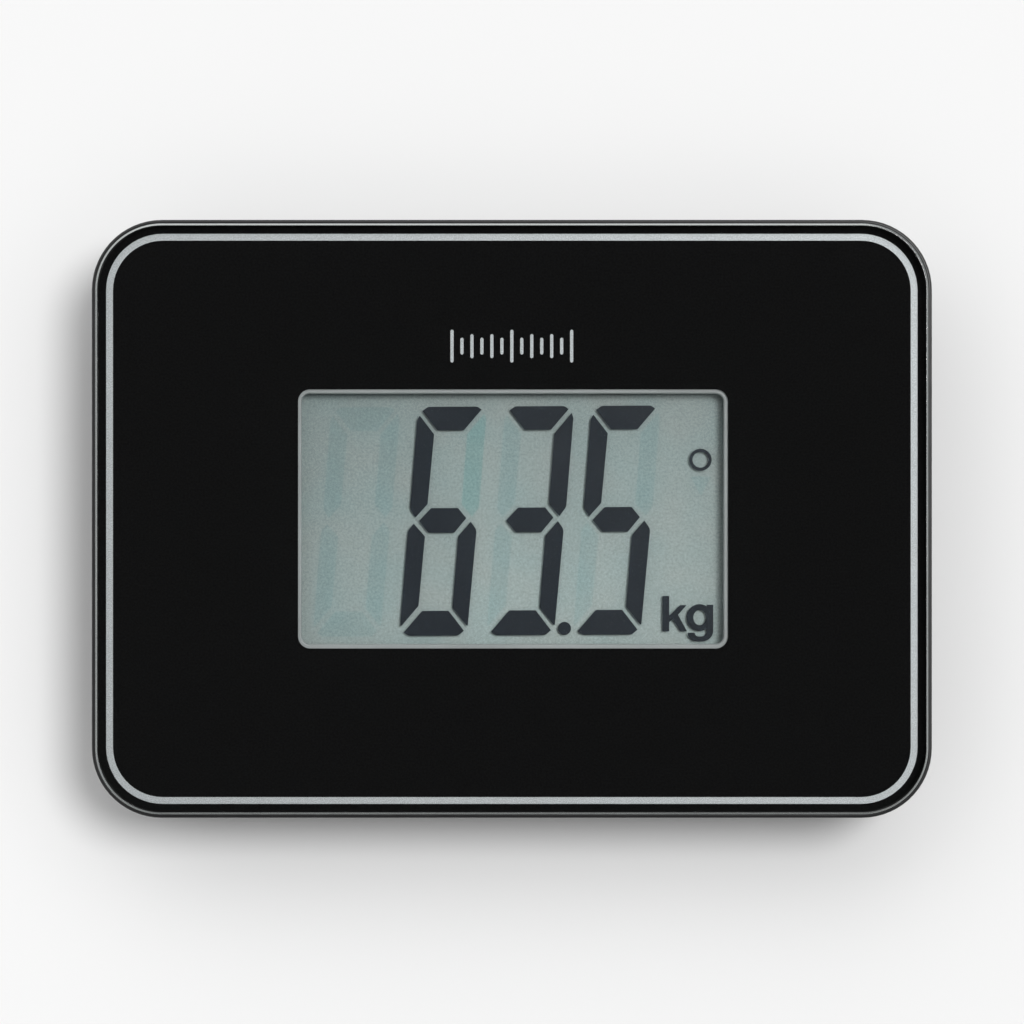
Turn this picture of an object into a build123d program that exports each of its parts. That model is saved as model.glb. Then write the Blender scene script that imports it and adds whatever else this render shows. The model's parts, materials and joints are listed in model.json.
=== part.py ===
"""Compact digital bathroom scale, built as the separate pieces of the real one.

A toughened glass platform lies in a moulded upper case. Under it are the display, its circuit
board and four load cells, one in each corner. Each cell stands on a foot that reaches down
through the bottom cover. The bottom cover also holds two AAA cells behind a hinged door, and
the slider that chooses the unit of weight.

Frame: +Z is up, X runs along the long side, and +Y points to the top of the displayed digits.
The origin is on the floor, under the middle of the platform. Lengths are millimetres.
"""

from build123d import *

import os
from math import atan, degrees

# ---------------------------------------------------------------- driving dimensions

WIDTH = 210.0
DEPTH = 149.5
HEIGHT = 31.0
CORNER_RADIUS = 17.5

GLASS_THICKNESS = 4.0
GLASS_BEVEL = 0.45
GLASS_GAP = 0.1  # between the glass edge and the rim round it
RIM_THICKNESS = 0.85
RIM_DROP = 0.6  # the rim stays this far below the glass face
RIM_FILLET = 0.6
RIM_INNER_FILLET = 0.15
EDGE_SOFTENING = 0.3  # small rounding of the edges that a hand can feel

PRINT_THICKNESS = 0.2
INK_DEPTH = 0.1  # silver ink lies in the black print by this much
STRIPE_INSET = 3.3
STRIPE_WIDTH = 1.7
MARK_CENTRE_Y = 43.3
MARK_TICKS = 13
MARK_PITCH = 2.5
MARK_TICK_WIDTH = 0.8
TAPE_THICKNESS = 0.8
TAPE_WIDTH = 8.0

WALL = 2.2
DECK_THICKNESS = 2.2
PART_LINE = 16.0  # height of the joint between upper case and bottom cover
SHADOW_GAP = 0.4  # the cover's edge is this much narrower than the case
COVER_BOTTOM = 4.5
COVER_TAPER = 20.0
COVER_EDGE_FILLET = 4.0

WINDOW_WIDTH = 107.8
WINDOW_DEPTH = 65.0
WINDOW_RADIUS = 3.1
WINDOW_X = 0.3  # the window lies this far right of the middle
BEZEL_SHOWN = 1.1  # width of the grey bezel seen inside the window

FOOT_X = 80.0
FOOT_Y = 50.0
FOOT_RADIUS = 12.5
FOOT_DOWN_TRAVEL = 0.4
PAD_RADIUS = 11.0
PAD_THICKNESS = 2.2

CELL_SIZE = 30.0
CELL_THICKNESS = 1.5
CELL_BOTTOM = 14.0

BATTERY_RADIUS = 5.25
BATTERY_LENGTH = 44.5
BATTERY_PITCH = 11.6
BATTERY_X_CLEARANCE = 52.0  # between the faces of the contact plates
TUB_CENTRE_Y = -52.1
DOOR_LENGTH = 58.0
DOOR_THICKNESS = 2.0

SELECTOR_X = 36.0
SELECTOR_Y = -20.0
SELECTOR_TRAVEL = 5.0

# ---------------------------------------------------------------- levels, from the top down

GLASS_BOTTOM = HEIGHT - GLASS_THICKNESS
RIM_TOP = HEIGHT - RIM_DROP
PRINT_BOTTOM = GLASS_BOTTOM - PRINT_THICKNESS
DECK_TOP = PRINT_BOTTOM - TAPE_THICKNESS
DECK_BOTTOM = DECK_TOP - DECK_THICKNESS
CELL_TOP = CELL_BOTTOM + CELL_THICKNESS
COVER_FLOOR = COVER_BOTTOM + WALL
RIB_DEPTH = 3.0

BEZEL_TOP = PRINT_BOTTOM - 0.3
BEZEL_FLANGE = 2.0
POLARIZER = 0.2
LCD_GLASS = 1.1
REFLECTOR = 0.25
LCD_TOP = BEZEL_TOP - BEZEL_FLANGE
FRONT_GLASS_BOTTOM = LCD_TOP - POLARIZER - LCD_GLASS
REAR_GLASS_BOTTOM = FRONT_GLASS_BOTTOM - LCD_GLASS
BOARD_THICKNESS = 1.6
BOARD_TOP = 18.8
BOARD_BOTTOM = BOARD_TOP - BOARD_THICKNESS

# ---------------------------------------------------------------- shared places

CORNERS = {
    "rear_left": (-1, 1),
    "rear_right": (1, 1),
    "front_left": (-1, -1),
    "front_right": (1, -1),
}

COVER_SCREWS = [(x, y) for x in (-48, 48) for y in (-60, 62)] + [(-93, 0), (93, 0)]
BOARD_SCREWS = [(x, y) for x in (-59.8, 59.8) for y in (-28, 28)]
RETAINER_EAR = 20.0  # from the cell's centre to a retainer screw
RETAINER_SIDESTEP = 8.0  # the inner ear's screw is moved clear of the cell's lead

BEZEL_WIDTH = WINDOW_WIDTH - 2 * BEZEL_SHOWN
BEZEL_DEPTH = WINDOW_DEPTH - 2 * BEZEL_SHOWN
LCD_WIDTH = 110.0
LCD_DEPTH = 70.0
LCD_LEDGE = 3.0  # the front glass passes the rear one by this much, for the contacts
BEZEL_CLEARANCE = 0.2
BEZEL_WALL = 1.3
BEZEL_OUTER = (
    LCD_WIDTH + 2 * (BEZEL_CLEARANCE + BEZEL_WALL),
    LCD_DEPTH + 2 * (BEZEL_CLEARANCE + BEZEL_WALL),
)

TUB_LENGTH = BATTERY_X_CLEARANCE + 0.8
TUB_DEPTH = 24.0
TUB_WALL = 1.6
TUB_CEILING = 18.0
BATTERY_Z = 12.15
LEDGE_TOP = 8.2  # thick floor round the battery opening
DOOR_GAP = 0.3
DOOR_FRONT_Y = -66.5
HINGE_Y = -38.9
HINGE_Z = 5.7
BARREL_RADIUS = 1.2
HINGE_PIN_RADIUS = 0.9
HINGE_PIN_LENGTH = 1.4

BOTTOM_UP = (Align.CENTER, Align.CENTER, Align.MIN)

# ---------------------------------------------------------------- helpers


def save(piece, name):
    """Labels a finished piece and writes it as a STEP file of that name."""
    piece.part.label = name
    export_step(piece.part, f"parts/{name}.step")


def case_outline(inset, mode=Mode.ADD):
    """The platform's rounded rectangle, drawn in by inset on every side."""
    return RectangleRounded(
        WIDTH - 2 * inset, DEPTH - 2 * inset, CORNER_RADIUS - inset, mode=mode
    )


def case_slab(inset, low, high, mode=Mode.ADD):
    """A slab of the platform's outline between two heights."""
    with BuildSketch(Plane.XY.offset(low)) as outline:
        case_outline(inset)
    extrude(outline.sketch, amount=high - low, mode=mode)


def case_ring(outer_inset, inner_inset, low, high):
    """A closed band that follows the platform's outline."""
    with BuildSketch(Plane.XY.offset(low)) as band:
        case_outline(outer_inset)
        case_outline(inner_inset, mode=Mode.SUBTRACT)
    extrude(band.sketch, amount=high - low)


def block(x_range, y_range, z_range, mode=Mode.ADD):
    """A box between two limits on each axis."""
    (x0, x1), (y0, y1), (z0, z1) = x_range, y_range, z_range
    with Locations(((x0 + x1) / 2, (y0 + y1) / 2, z0)):
        Box(x1 - x0, y1 - y0, z1 - z0, align=BOTTOM_UP, mode=mode)


def posts(places, radius, low, high, mode=Mode.ADD):
    """Upright cylinders at each (x, y), between two heights."""
    with Locations(*[(x, y, low) for x, y in places]):
        Cylinder(radius, high - low, align=BOTTOM_UP, mode=mode)


def plate(width, depth, radius, low, high, mode=Mode.ADD, centre_x=0.0):
    """A rounded plate centred on the Y axis or on a line beside it, between two heights."""
    with BuildSketch(Plane.XY.offset(low)) as outline:
        with Locations((centre_x, 0)):
            RectangleRounded(width, depth, radius)
    extrude(outline.sketch, amount=high - low, mode=mode)


def frame(outer, outer_radius, inner, inner_radius, low, high):
    """A rectangular frame centred on the origin, between two heights."""
    with BuildSketch(Plane.XY.offset(low)) as outline:
        RectangleRounded(*outer, outer_radius)
        RectangleRounded(*inner, inner_radius, mode=Mode.SUBTRACT)
    extrude(outline.sketch, amount=high - low)


def screws_from_below(places, head_radius, head_low, head_height, shank_radius, tip):
    """Screws driven upwards, each with a cross recess in its head."""
    posts(places, head_radius, head_low, head_low + head_height)
    posts(places, shank_radius, head_low + head_height, tip)
    arm = 1.3 * head_radius
    slot = 0.3 * head_radius
    with Locations(*[(x, y, head_low) for x, y in places]):
        Box(arm, slot, head_height / 2, align=BOTTOM_UP, mode=Mode.SUBTRACT)
        Box(slot, arm, head_height / 2, align=BOTTOM_UP, mode=Mode.SUBTRACT)


def retainer_screw_places(sx, sy):
    """The two screws that hold one corner's load cell retainer."""
    inner = (sx * (FOOT_X - RETAINER_EAR), sy * (FOOT_Y + RETAINER_SIDESTEP))
    side = (sx * FOOT_X, sy * (FOOT_Y - RETAINER_EAR))
    return [inner, side]


FEET = [(sx * FOOT_X, sy * FOOT_Y) for sx, sy in CORNERS.values()]
RETAINER_SCREWS = [p for s in CORNERS.values() for p in retainer_screw_places(*s)]

os.makedirs("parts", exist_ok=True)

# ---------------------------------------------------------------- glass platform and its prints

GLASS_INSET = RIM_THICKNESS + GLASS_GAP

with BuildPart() as glass_platform:
    case_slab(GLASS_INSET, GLASS_BOTTOM, HEIGHT)
    flats = glass_platform.faces().filter_by(Axis.Z)
    chamfer(flats.edges(), GLASS_BEVEL)
save(glass_platform, "glass_platform")


def mark_ticks():
    """A row of graduation strokes, long at the middle and the ends."""
    middle = MARK_TICKS // 2
    for i in range(MARK_TICKS):
        step = abs(i - middle)
        height = {0: 8.2, middle: 8.2}.get(step, 6.0 if step % 2 == 0 else 4.2)
        with Locations(((i - middle) * MARK_PITCH, MARK_CENTRE_Y)):
            SlotOverall(height, MARK_TICK_WIDTH, rotation=90)


def ink_stripe():
    """The thin line that follows the platform's edge."""
    case_outline(STRIPE_INSET)
    case_outline(STRIPE_INSET + STRIPE_WIDTH, mode=Mode.SUBTRACT)


with BuildPart() as back_print:
    case_slab(GLASS_INSET + GLASS_BEVEL, PRINT_BOTTOM, GLASS_BOTTOM)
    plate(
        WINDOW_WIDTH,
        WINDOW_DEPTH,
        WINDOW_RADIUS,
        PRINT_BOTTOM,
        GLASS_BOTTOM,
        Mode.SUBTRACT,
        WINDOW_X,
    )
    with BuildSketch(Plane.XY.offset(GLASS_BOTTOM)):
        ink_stripe()
        mark_ticks()
    extrude(amount=-INK_DEPTH, mode=Mode.SUBTRACT)
save(back_print, "back_print")

with BuildPart() as silver_stripe:
    with BuildSketch(Plane.XY.offset(GLASS_BOTTOM)):
        ink_stripe()
    extrude(amount=-INK_DEPTH)
save(silver_stripe, "silver_stripe")

with BuildPart() as graduation_mark:
    with BuildSketch(Plane.XY.offset(GLASS_BOTTOM)):
        mark_ticks()
    extrude(amount=-INK_DEPTH)
save(graduation_mark, "graduation_mark")

with BuildPart() as platform_tape:
    tape_inset = GLASS_INSET + 2 * GLASS_BEVEL
    case_ring(tape_inset, tape_inset + TAPE_WIDTH, DECK_TOP, PRINT_BOTTOM)
save(platform_tape, "platform_tape")

# ---------------------------------------------------------------- upper case

DISPLAY_OPENING = (BEZEL_OUTER[0] + 0.6, BEZEL_OUTER[1] + 0.6)
SEAT_OUTER = CELL_SIZE + 4.4
SEAT_INNER = CELL_SIZE - 5.0
COVER_BOSS_TOP = 11.5  # where the cover's screw bosses meet the case's

with BuildPart() as upper_case:
    case_slab(0, PART_LINE, RIM_TOP)
    fillet(upper_case.faces().sort_by(Axis.Z)[-1].edges(), RIM_FILLET)
    fillet(upper_case.faces().sort_by(Axis.Z)[0].edges(), EDGE_SOFTENING)
    case_slab(RIM_THICKNESS, DECK_TOP, RIM_TOP, Mode.SUBTRACT)
    fillet(upper_case.faces().sort_by(Axis.Z)[-1].inner_wires().edges(), RIM_INNER_FILLET)
    case_slab(WALL, PART_LINE, DECK_BOTTOM, Mode.SUBTRACT)
    # Waffle ribs under the deck, left out below the display and inside the cell seats.
    with BuildSketch(Plane.XY.offset(DECK_BOTTOM)):
        with GridLocations(14, 1, 15, 1):
            Rectangle(1.2, DEPTH)
        with GridLocations(1, 14, 1, 11):
            Rectangle(WIDTH, 1.2)
        case_outline(WALL, mode=Mode.INTERSECT)
        Rectangle(BEZEL_OUTER[0] + 12, BEZEL_OUTER[1] + 4, mode=Mode.SUBTRACT)
        with Locations(*FEET):
            Rectangle(CELL_SIZE, CELL_SIZE, mode=Mode.SUBTRACT)
    extrude(amount=-RIB_DEPTH)
    # Load cell seats: a box wall with a ledge that carries the cell's outer frame.
    with BuildSketch(Plane.XY.offset(DECK_BOTTOM)):
        with Locations(*FEET):
            RectangleRounded(SEAT_OUTER, SEAT_OUTER, 6)
            RectangleRounded(SEAT_INNER, SEAT_INNER, 2, mode=Mode.SUBTRACT)
    extrude(amount=CELL_BOTTOM - DECK_BOTTOM)
    with BuildSketch(Plane.XY.offset(CELL_BOTTOM)):
        with Locations(*FEET):
            RectangleRounded(CELL_SIZE + 0.4, CELL_SIZE + 0.4, 4.2)
    extrude(amount=CELL_THICKNESS, mode=Mode.SUBTRACT)
    # Notches that let the cells' leads out towards the board.
    for foot_x, foot_y in FEET:
        side = 1 if foot_x > 0 else -1
        inner = sorted((foot_x - side * SEAT_OUTER, foot_x - side * SEAT_INNER / 2 + side))
        block(inner, (foot_y - 1.4, foot_y + 1.4), (CELL_TOP, CELL_TOP + 2.4), Mode.SUBTRACT)
    # Screw bosses with their pilot holes.
    posts(COVER_SCREWS, 3.5, COVER_BOSS_TOP, DECK_BOTTOM)
    posts(COVER_SCREWS, 1.3, COVER_BOSS_TOP, DECK_BOTTOM - 2, Mode.SUBTRACT)
    posts(RETAINER_SCREWS, 2.75, CELL_BOTTOM, DECK_BOTTOM)
    posts(RETAINER_SCREWS, 1.1, CELL_BOTTOM, DECK_BOTTOM - 2, Mode.SUBTRACT)
    posts(BOARD_SCREWS, 2.5, BOARD_TOP, DECK_BOTTOM)
    posts(BOARD_SCREWS, 0.95, BOARD_TOP, DECK_BOTTOM, Mode.SUBTRACT)
    plate(*DISPLAY_OPENING, 1.5, DECK_BOTTOM, DECK_TOP, Mode.SUBTRACT)
save(upper_case, "upper_case")

# ---------------------------------------------------------------- display

with BuildPart() as bezel_gasket:
    frame(BEZEL_OUTER, 1.2, (WINDOW_WIDTH + 1, WINDOW_DEPTH + 1), 3, BEZEL_TOP, PRINT_BOTTOM)
save(bezel_gasket, "bezel_gasket")

with BuildPart() as display_bezel:
    plate(*BEZEL_OUTER, 1.2, BOARD_TOP, BEZEL_TOP)
    plate(
        LCD_WIDTH + 2 * BEZEL_CLEARANCE,
        LCD_DEPTH + 2 * BEZEL_CLEARANCE,
        0.5,
        BOARD_TOP,
        LCD_TOP,
        Mode.SUBTRACT,
    )
    plate(
        BEZEL_WIDTH,
        BEZEL_DEPTH,
        WINDOW_RADIUS - BEZEL_SHOWN,
        LCD_TOP,
        BEZEL_TOP,
        Mode.SUBTRACT,
        WINDOW_X,
    )
save(display_bezel, "display_bezel")

with BuildPart() as lcd_front_polarizer:
    plate(LCD_WIDTH - 2, LCD_DEPTH - 4, 0.5, LCD_TOP - POLARIZER, LCD_TOP)
save(lcd_front_polarizer, "lcd_front_polarizer")

with BuildPart() as lcd_front_glass:
    plate(LCD_WIDTH, LCD_DEPTH, 0.5, FRONT_GLASS_BOTTOM, LCD_TOP - POLARIZER)
save(lcd_front_glass, "lcd_front_glass")

REAR_GLASS_DEPTH = LCD_DEPTH - 2 * LCD_LEDGE

with BuildPart() as lcd_rear_glass:
    plate(LCD_WIDTH, REAR_GLASS_DEPTH, 0.5, REAR_GLASS_BOTTOM, FRONT_GLASS_BOTTOM)
save(lcd_rear_glass, "lcd_rear_glass")

with BuildPart() as lcd_reflector:
    plate(LCD_WIDTH - 2, REAR_GLASS_DEPTH - 0.6, 0.5, REAR_GLASS_BOTTOM - REFLECTOR, REAR_GLASS_BOTTOM)
save(lcd_reflector, "lcd_reflector")

# Rubber connector strips carry the segments' signals from the board to the glass ledges.
STRIP_WIDTH = 2.4
STRIP_LENGTH = 104.0
STRIP_Y = LCD_DEPTH / 2 - LCD_LEDGE / 2 + 0.1

for strip_name, strip_side in (("connector_strip_rear", 1), ("connector_strip_front", -1)):
    with BuildPart() as connector_strip:
        with Locations((0, strip_side * STRIP_Y, BOARD_TOP)):
            Box(STRIP_LENGTH, STRIP_WIDTH, FRONT_GLASS_BOTTOM - BOARD_TOP, align=BOTTOM_UP)
    save(connector_strip, strip_name)

# ---------------------------------------------------------------- circuit board

BOARD_WIDTH = 124.6
BOARD_DEPTH = 74.0
SOCKET_SIZE = 4.0
SOCKET_HEIGHT = 2.4
LEAD_RADIUS = 0.75
LEAD_Z = CELL_TOP + 0.1 + LEAD_RADIUS
CELL_SOCKET_X = 52.0
POSITIVE_SOCKET_X = 34.0
NEGATIVE_SOCKET_X = 45.0
SOCKET_OUTER_Y = 33.0  # the sockets' faces that the leads enter

with BuildPart() as main_board:
    plate(BOARD_WIDTH, BOARD_DEPTH, 2, BOARD_BOTTOM, BOARD_TOP)
    posts(BOARD_SCREWS, 1.2, BOARD_BOTTOM, BOARD_TOP, Mode.SUBTRACT)
save(main_board, "main_board")

with BuildPart() as controller_chip:
    posts([(-6, 4)], 7, BOARD_BOTTOM - 1.8, BOARD_BOTTOM)
    fillet(controller_chip.faces().sort_by(Axis.Z)[0].edges(), 1.5)
save(controller_chip, "controller_chip")

with BuildPart() as board_crystal:
    with BuildSketch(Plane.XY.offset(BOARD_BOTTOM)):
        with Locations((12, 10)):
            SlotOverall(9, 3.4)
    extrude(amount=-3)
    fillet(board_crystal.faces().sort_by(Axis.Z)[0].edges(), 0.4)
save(board_crystal, "board_crystal")

with BuildPart() as board_capacitors:
    for capacitor_x, capacitor_y in [(-24, 12), (-24, 4), (-24, -4), (8, -10), (14, -10), (20, -10)]:
        with Locations((capacitor_x, capacitor_y, BOARD_BOTTOM - 1)):
            Box(3.2, 1.6, 1, align=BOTTOM_UP)
save(board_capacitors, "board_capacitors")

with BuildPart() as lead_sockets:
    socket_places = [
        (sx * CELL_SOCKET_X, sy * (SOCKET_OUTER_Y - SOCKET_SIZE / 2)) for sx, sy in CORNERS.values()
    ]
    for socket_x in (POSITIVE_SOCKET_X, NEGATIVE_SOCKET_X):
        socket_places.append((socket_x, SOCKET_SIZE / 2 - SOCKET_OUTER_Y))
    with Locations(*[(x, y, BOARD_BOTTOM - SOCKET_HEIGHT) for x, y in socket_places]):
        Box(SOCKET_SIZE, SOCKET_SIZE, SOCKET_HEIGHT, align=BOTTOM_UP)
save(lead_sockets, "lead_sockets")

with BuildPart() as board_screws:
    screws_from_below(BOARD_SCREWS, 2.2, BOARD_BOTTOM - 1.6, 1.6, 0.9, DECK_BOTTOM - 1)
save(board_screws, "board_screws")

# ---------------------------------------------------------------- bottom cover

FOOT_HOLE_RADIUS = FOOT_RADIUS + 0.7
FLANGE_RADIUS = 14.5
SCREW_HEAD_RADIUS = 2.8
SCREW_HEAD_HEIGHT = 2.2
SCREW_SEAT = 9.0
DOOR_TOP = COVER_BOTTOM + DOOR_THICKNESS
RECESS_FRONT_Y = DOOR_FRONT_Y - DOOR_GAP
RECESS_REAR_Y = HINGE_Y + BARREL_RADIUS + DOOR_GAP
RECESS_X = DOOR_LENGTH / 2 + DOOR_GAP
TUB_X = TUB_LENGTH / 2
TUB_FRONT_Y = TUB_CENTRE_Y - TUB_DEPTH / 2
TUB_REAR_Y = TUB_CENTRE_Y + TUB_DEPTH / 2
CONTACT_TAB_Z = 14.0
CONTACT_TAB_END = TUB_X + TUB_WALL + 1
KNOB_GRIP = 4.0
SLOT_LENGTH = KNOB_GRIP + SELECTOR_TRAVEL + 0.6
LABEL_SIZE = (70.0, 26.0)
LABEL_Y = 22.0
LABEL_RECESS = 0.3

with BuildPart() as bottom_cover:
    with BuildSketch(Plane.XY.offset(PART_LINE)):
        case_outline(SHADOW_GAP)
    extrude(amount=COVER_BOTTOM - PART_LINE, taper=COVER_TAPER)
    fillet(bottom_cover.faces().sort_by(Axis.Z)[0].edges(), COVER_EDGE_FILLET)
    with BuildSketch(Plane.XY.offset(PART_LINE)):
        case_outline(SHADOW_GAP + WALL)
    extrude(amount=COVER_FLOOR - PART_LINE, taper=COVER_TAPER, mode=Mode.SUBTRACT)
    # A tongue that stands up inside the upper case's wall.
    case_ring(WALL + 0.15, WALL + 1.15, PART_LINE - 1.5, PART_LINE + 2)
    # Holes and guide collars for the feet.
    posts(FEET, FLANGE_RADIUS + 2, COVER_FLOOR, COVER_FLOOR + 3)
    posts(FEET, FLANGE_RADIUS + 0.5, COVER_FLOOR, COVER_FLOOR + 3, Mode.SUBTRACT)
    posts(FEET, FOOT_HOLE_RADIUS, COVER_BOTTOM, COVER_FLOOR, Mode.SUBTRACT)
    # Screw bosses, each with a counterbore from below.
    posts(COVER_SCREWS, 4.4, COVER_FLOOR, COVER_BOSS_TOP)
    posts(COVER_SCREWS, SCREW_HEAD_RADIUS + 0.4, COVER_BOTTOM, SCREW_SEAT, Mode.SUBTRACT)
    posts(COVER_SCREWS, 1.6, SCREW_SEAT, COVER_BOSS_TOP, Mode.SUBTRACT)
    # Battery tub: thick floor, walls and ceiling, then the space inside.
    tub_outer_x = (-TUB_X - TUB_WALL, TUB_X + TUB_WALL)
    tub_outer_y = (TUB_FRONT_Y - TUB_WALL, TUB_REAR_Y + TUB_WALL)
    block(tub_outer_x, tub_outer_y, (COVER_FLOOR, TUB_CEILING + TUB_WALL))
    block(
        (-RECESS_X - 2.5, RECESS_X + 2.5),
        (RECESS_FRONT_Y - 1.2, RECESS_REAR_Y + 1.2),
        (COVER_FLOOR, LEDGE_TOP),
    )
    block(
        (-TUB_X, TUB_X), (TUB_FRONT_Y, TUB_REAR_Y), (COVER_BOTTOM, TUB_CEILING), Mode.SUBTRACT
    )
    # Recess for the door, with room for its barrel and sockets for its pins.
    block(
        (-RECESS_X, RECESS_X), (RECESS_FRONT_Y, RECESS_REAR_Y), (COVER_BOTTOM, DOOR_TOP), Mode.SUBTRACT
    )
    block(
        (-RECESS_X, RECESS_X),
        (HINGE_Y - BARREL_RADIUS - DOOR_GAP, RECESS_REAR_Y),
        (COVER_BOTTOM, HINGE_Z + BARREL_RADIUS + DOOR_GAP),
        Mode.SUBTRACT,
    )
    with Locations((0, HINGE_Y, HINGE_Z)):
        Cylinder(
            HINGE_PIN_RADIUS + 0.08,
            2 * (DOOR_LENGTH / 2 + HINGE_PIN_LENGTH + 0.2),
            rotation=(0, 90, 0),
            mode=Mode.SUBTRACT,
        )
    # Finger scoop in front of the door.
    with Locations((0, RECESS_FRONT_Y + 1, COVER_BOTTOM - 5)):
        Sphere(7.5, mode=Mode.SUBTRACT)
    # Slots for the tabs of the two end contacts.
    for tab_y in (TUB_CENTRE_Y - BATTERY_PITCH / 2, TUB_CENTRE_Y + BATTERY_PITCH / 2):
        block(
            (TUB_X, TUB_X + TUB_WALL),
            (tab_y - 1.2, tab_y + 1.2),
            (CONTACT_TAB_Z - 0.7, CONTACT_TAB_Z + 0.7),
            Mode.SUBTRACT,
        )
    # Unit selector: a shallow scoop, the slot for the grip, and two rails that hold the slider.
    with BuildSketch(Plane.XY.offset(COVER_BOTTOM)):
        with Locations((SELECTOR_X, SELECTOR_Y)):
            SlotOverall(22, 10)
    extrude(amount=0.6, mode=Mode.SUBTRACT)
    block(
        (SELECTOR_X - SLOT_LENGTH / 2, SELECTOR_X + SLOT_LENGTH / 2),
        (SELECTOR_Y - 2.4, SELECTOR_Y + 2.4),
        (COVER_BOTTOM, COVER_FLOOR),
        Mode.SUBTRACT,
    )
    rail_x = (SELECTOR_X - 12, SELECTOR_X + 12)
    for rail_side in (-1, 1):
        post_y = sorted((SELECTOR_Y + rail_side * 4.8, SELECTOR_Y + rail_side * 6.3))
        hook_y = sorted((SELECTOR_Y + rail_side * 3.8, SELECTOR_Y + rail_side * 6.3))
        block(rail_x, post_y, (COVER_FLOOR, COVER_FLOOR + 2.8))
        block(rail_x, hook_y, (COVER_FLOOR + 2.0, COVER_FLOOR + 2.8))
    # Shallow recess for the rating label.
    with BuildSketch(Plane.XY.offset(COVER_BOTTOM)):
        with Locations((0, LABEL_Y)):
            RectangleRounded(*LABEL_SIZE, 2)
    extrude(amount=LABEL_RECESS, mode=Mode.SUBTRACT)
    # Low stiffening ribs inside the floor.
    for rib_y, reach in ((-8, 72), (8, 72), (44, 65.4)):
        block((-reach, reach), (rib_y - 0.6, rib_y + 0.6), (COVER_FLOOR, COVER_FLOOR + 2))
    # Softened mouths of the round holes for the feet and screws.
    mouths = bottom_cover.edges().filter_by(GeomType.CIRCLE).group_by(Axis.Z)[0]
    chamfer(mouths.filter_by(lambda edge: edge.is_closed), EDGE_SOFTENING)
save(bottom_cover, "bottom_cover")

with BuildPart() as rating_label:
    with BuildSketch(Plane.XY.offset(COVER_BOTTOM + LABEL_RECESS)):
        with Locations((0, LABEL_Y)):
            RectangleRounded(LABEL_SIZE[0] - 0.8, LABEL_SIZE[1] - 0.8, 1.6)
    extrude(amount=-0.15)
save(rating_label, "rating_label")

with BuildPart() as cover_screws:
    screws_from_below(
        COVER_SCREWS, SCREW_HEAD_RADIUS, SCREW_SEAT - SCREW_HEAD_HEIGHT, SCREW_HEAD_HEIGHT, 1.25, 19
    )
save(cover_screws, "cover_screws")

# ---------------------------------------------------------------- battery door

with BuildPart() as battery_door:
    door_x = (-DOOR_LENGTH / 2, DOOR_LENGTH / 2)
    block(door_x, (DOOR_FRONT_Y, HINGE_Y), (COVER_BOTTOM, DOOR_TOP))
    front_corners = battery_door.edges().filter_by(Axis.Z).group_by(Axis.Y)[0]
    fillet(front_corners, 1.5)
    outer_edges = battery_door.edges().group_by(Axis.Z)[0].sort_by(Axis.Y)[:-1]
    fillet(outer_edges, EDGE_SOFTENING)
    with Locations((0, HINGE_Y, HINGE_Z)):
        Cylinder(BARREL_RADIUS, DOOR_LENGTH, rotation=(0, 90, 0))
        Cylinder(
            HINGE_PIN_RADIUS, DOOR_LENGTH + 2 * HINGE_PIN_LENGTH, rotation=(0, 90, 0)
        )
    # Two cuts free a springy latch tongue, which carries a nib and grip grooves.
    for cut_side in (-1, 1):
        cut_x = sorted((cut_side * 7.0, cut_side * 7.8))
        block(cut_x, (DOOR_FRONT_Y, DOOR_FRONT_Y + 10), (COVER_BOTTOM, DOOR_TOP), Mode.SUBTRACT)
    block((-5, 5), (DOOR_FRONT_Y - 0.2, DOOR_FRONT_Y), (DOOR_TOP - 0.8, DOOR_TOP))
    for groove in range(5):
        groove_y = DOOR_FRONT_Y + 1.8 + 1.6 * groove
        block((-5.5, 5.5), (groove_y, groove_y + 0.8), (COVER_BOTTOM, COVER_BOTTOM + 0.4), Mode.SUBTRACT)
save(battery_door, "battery_door")

# ---------------------------------------------------------------- batteries and contacts

BATTERY_END = BATTERY_X_CLEARANCE / 2
BATTERY_NUB = 1.0
CONTACT_DIMPLE = 1.0
CONTACT_PLATE = 0.4
SPRING_LENGTH = BATTERY_X_CLEARANCE - BATTERY_LENGTH - CONTACT_DIMPLE
SPRING_WIRE = 0.35
REAR_BATTERY_Y = TUB_CENTRE_Y + BATTERY_PITCH / 2
FRONT_BATTERY_Y = TUB_CENTRE_Y - BATTERY_PITCH / 2

# Each battery's button points to positive_side, and its flat end meets a spring.
for battery_name, battery_y, positive_side in (
    ("battery_rear", REAR_BATTERY_Y, 1),
    ("battery_front", FRONT_BATTERY_Y, -1),
):
    flat_end = -positive_side * (BATTERY_END - SPRING_LENGTH)
    button_end = positive_side * (BATTERY_END - CONTACT_DIMPLE)
    with BuildPart() as battery:
        with BuildSketch(Plane.YZ.offset(flat_end)):
            with Locations((battery_y, BATTERY_Z)):
                Circle(BATTERY_RADIUS)
        extrude(amount=positive_side * (BATTERY_LENGTH - BATTERY_NUB))
        fillet(battery.edges().filter_by(GeomType.CIRCLE), 0.5)
        with BuildSketch(Plane.YZ.offset(button_end)):
            with Locations((battery_y, BATTERY_Z)):
                Circle(1.9)
        extrude(amount=-positive_side * BATTERY_NUB)
    save(battery, battery_name)


def contact_plate(side, y_range):
    """A flat contact against the tub's end wall on that side."""
    x_range = sorted((side * BATTERY_END, side * (BATTERY_END + CONTACT_PLATE)))
    block(x_range, y_range, (BATTERY_Z - 4.5, BATTERY_Z + 4.5))


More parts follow.
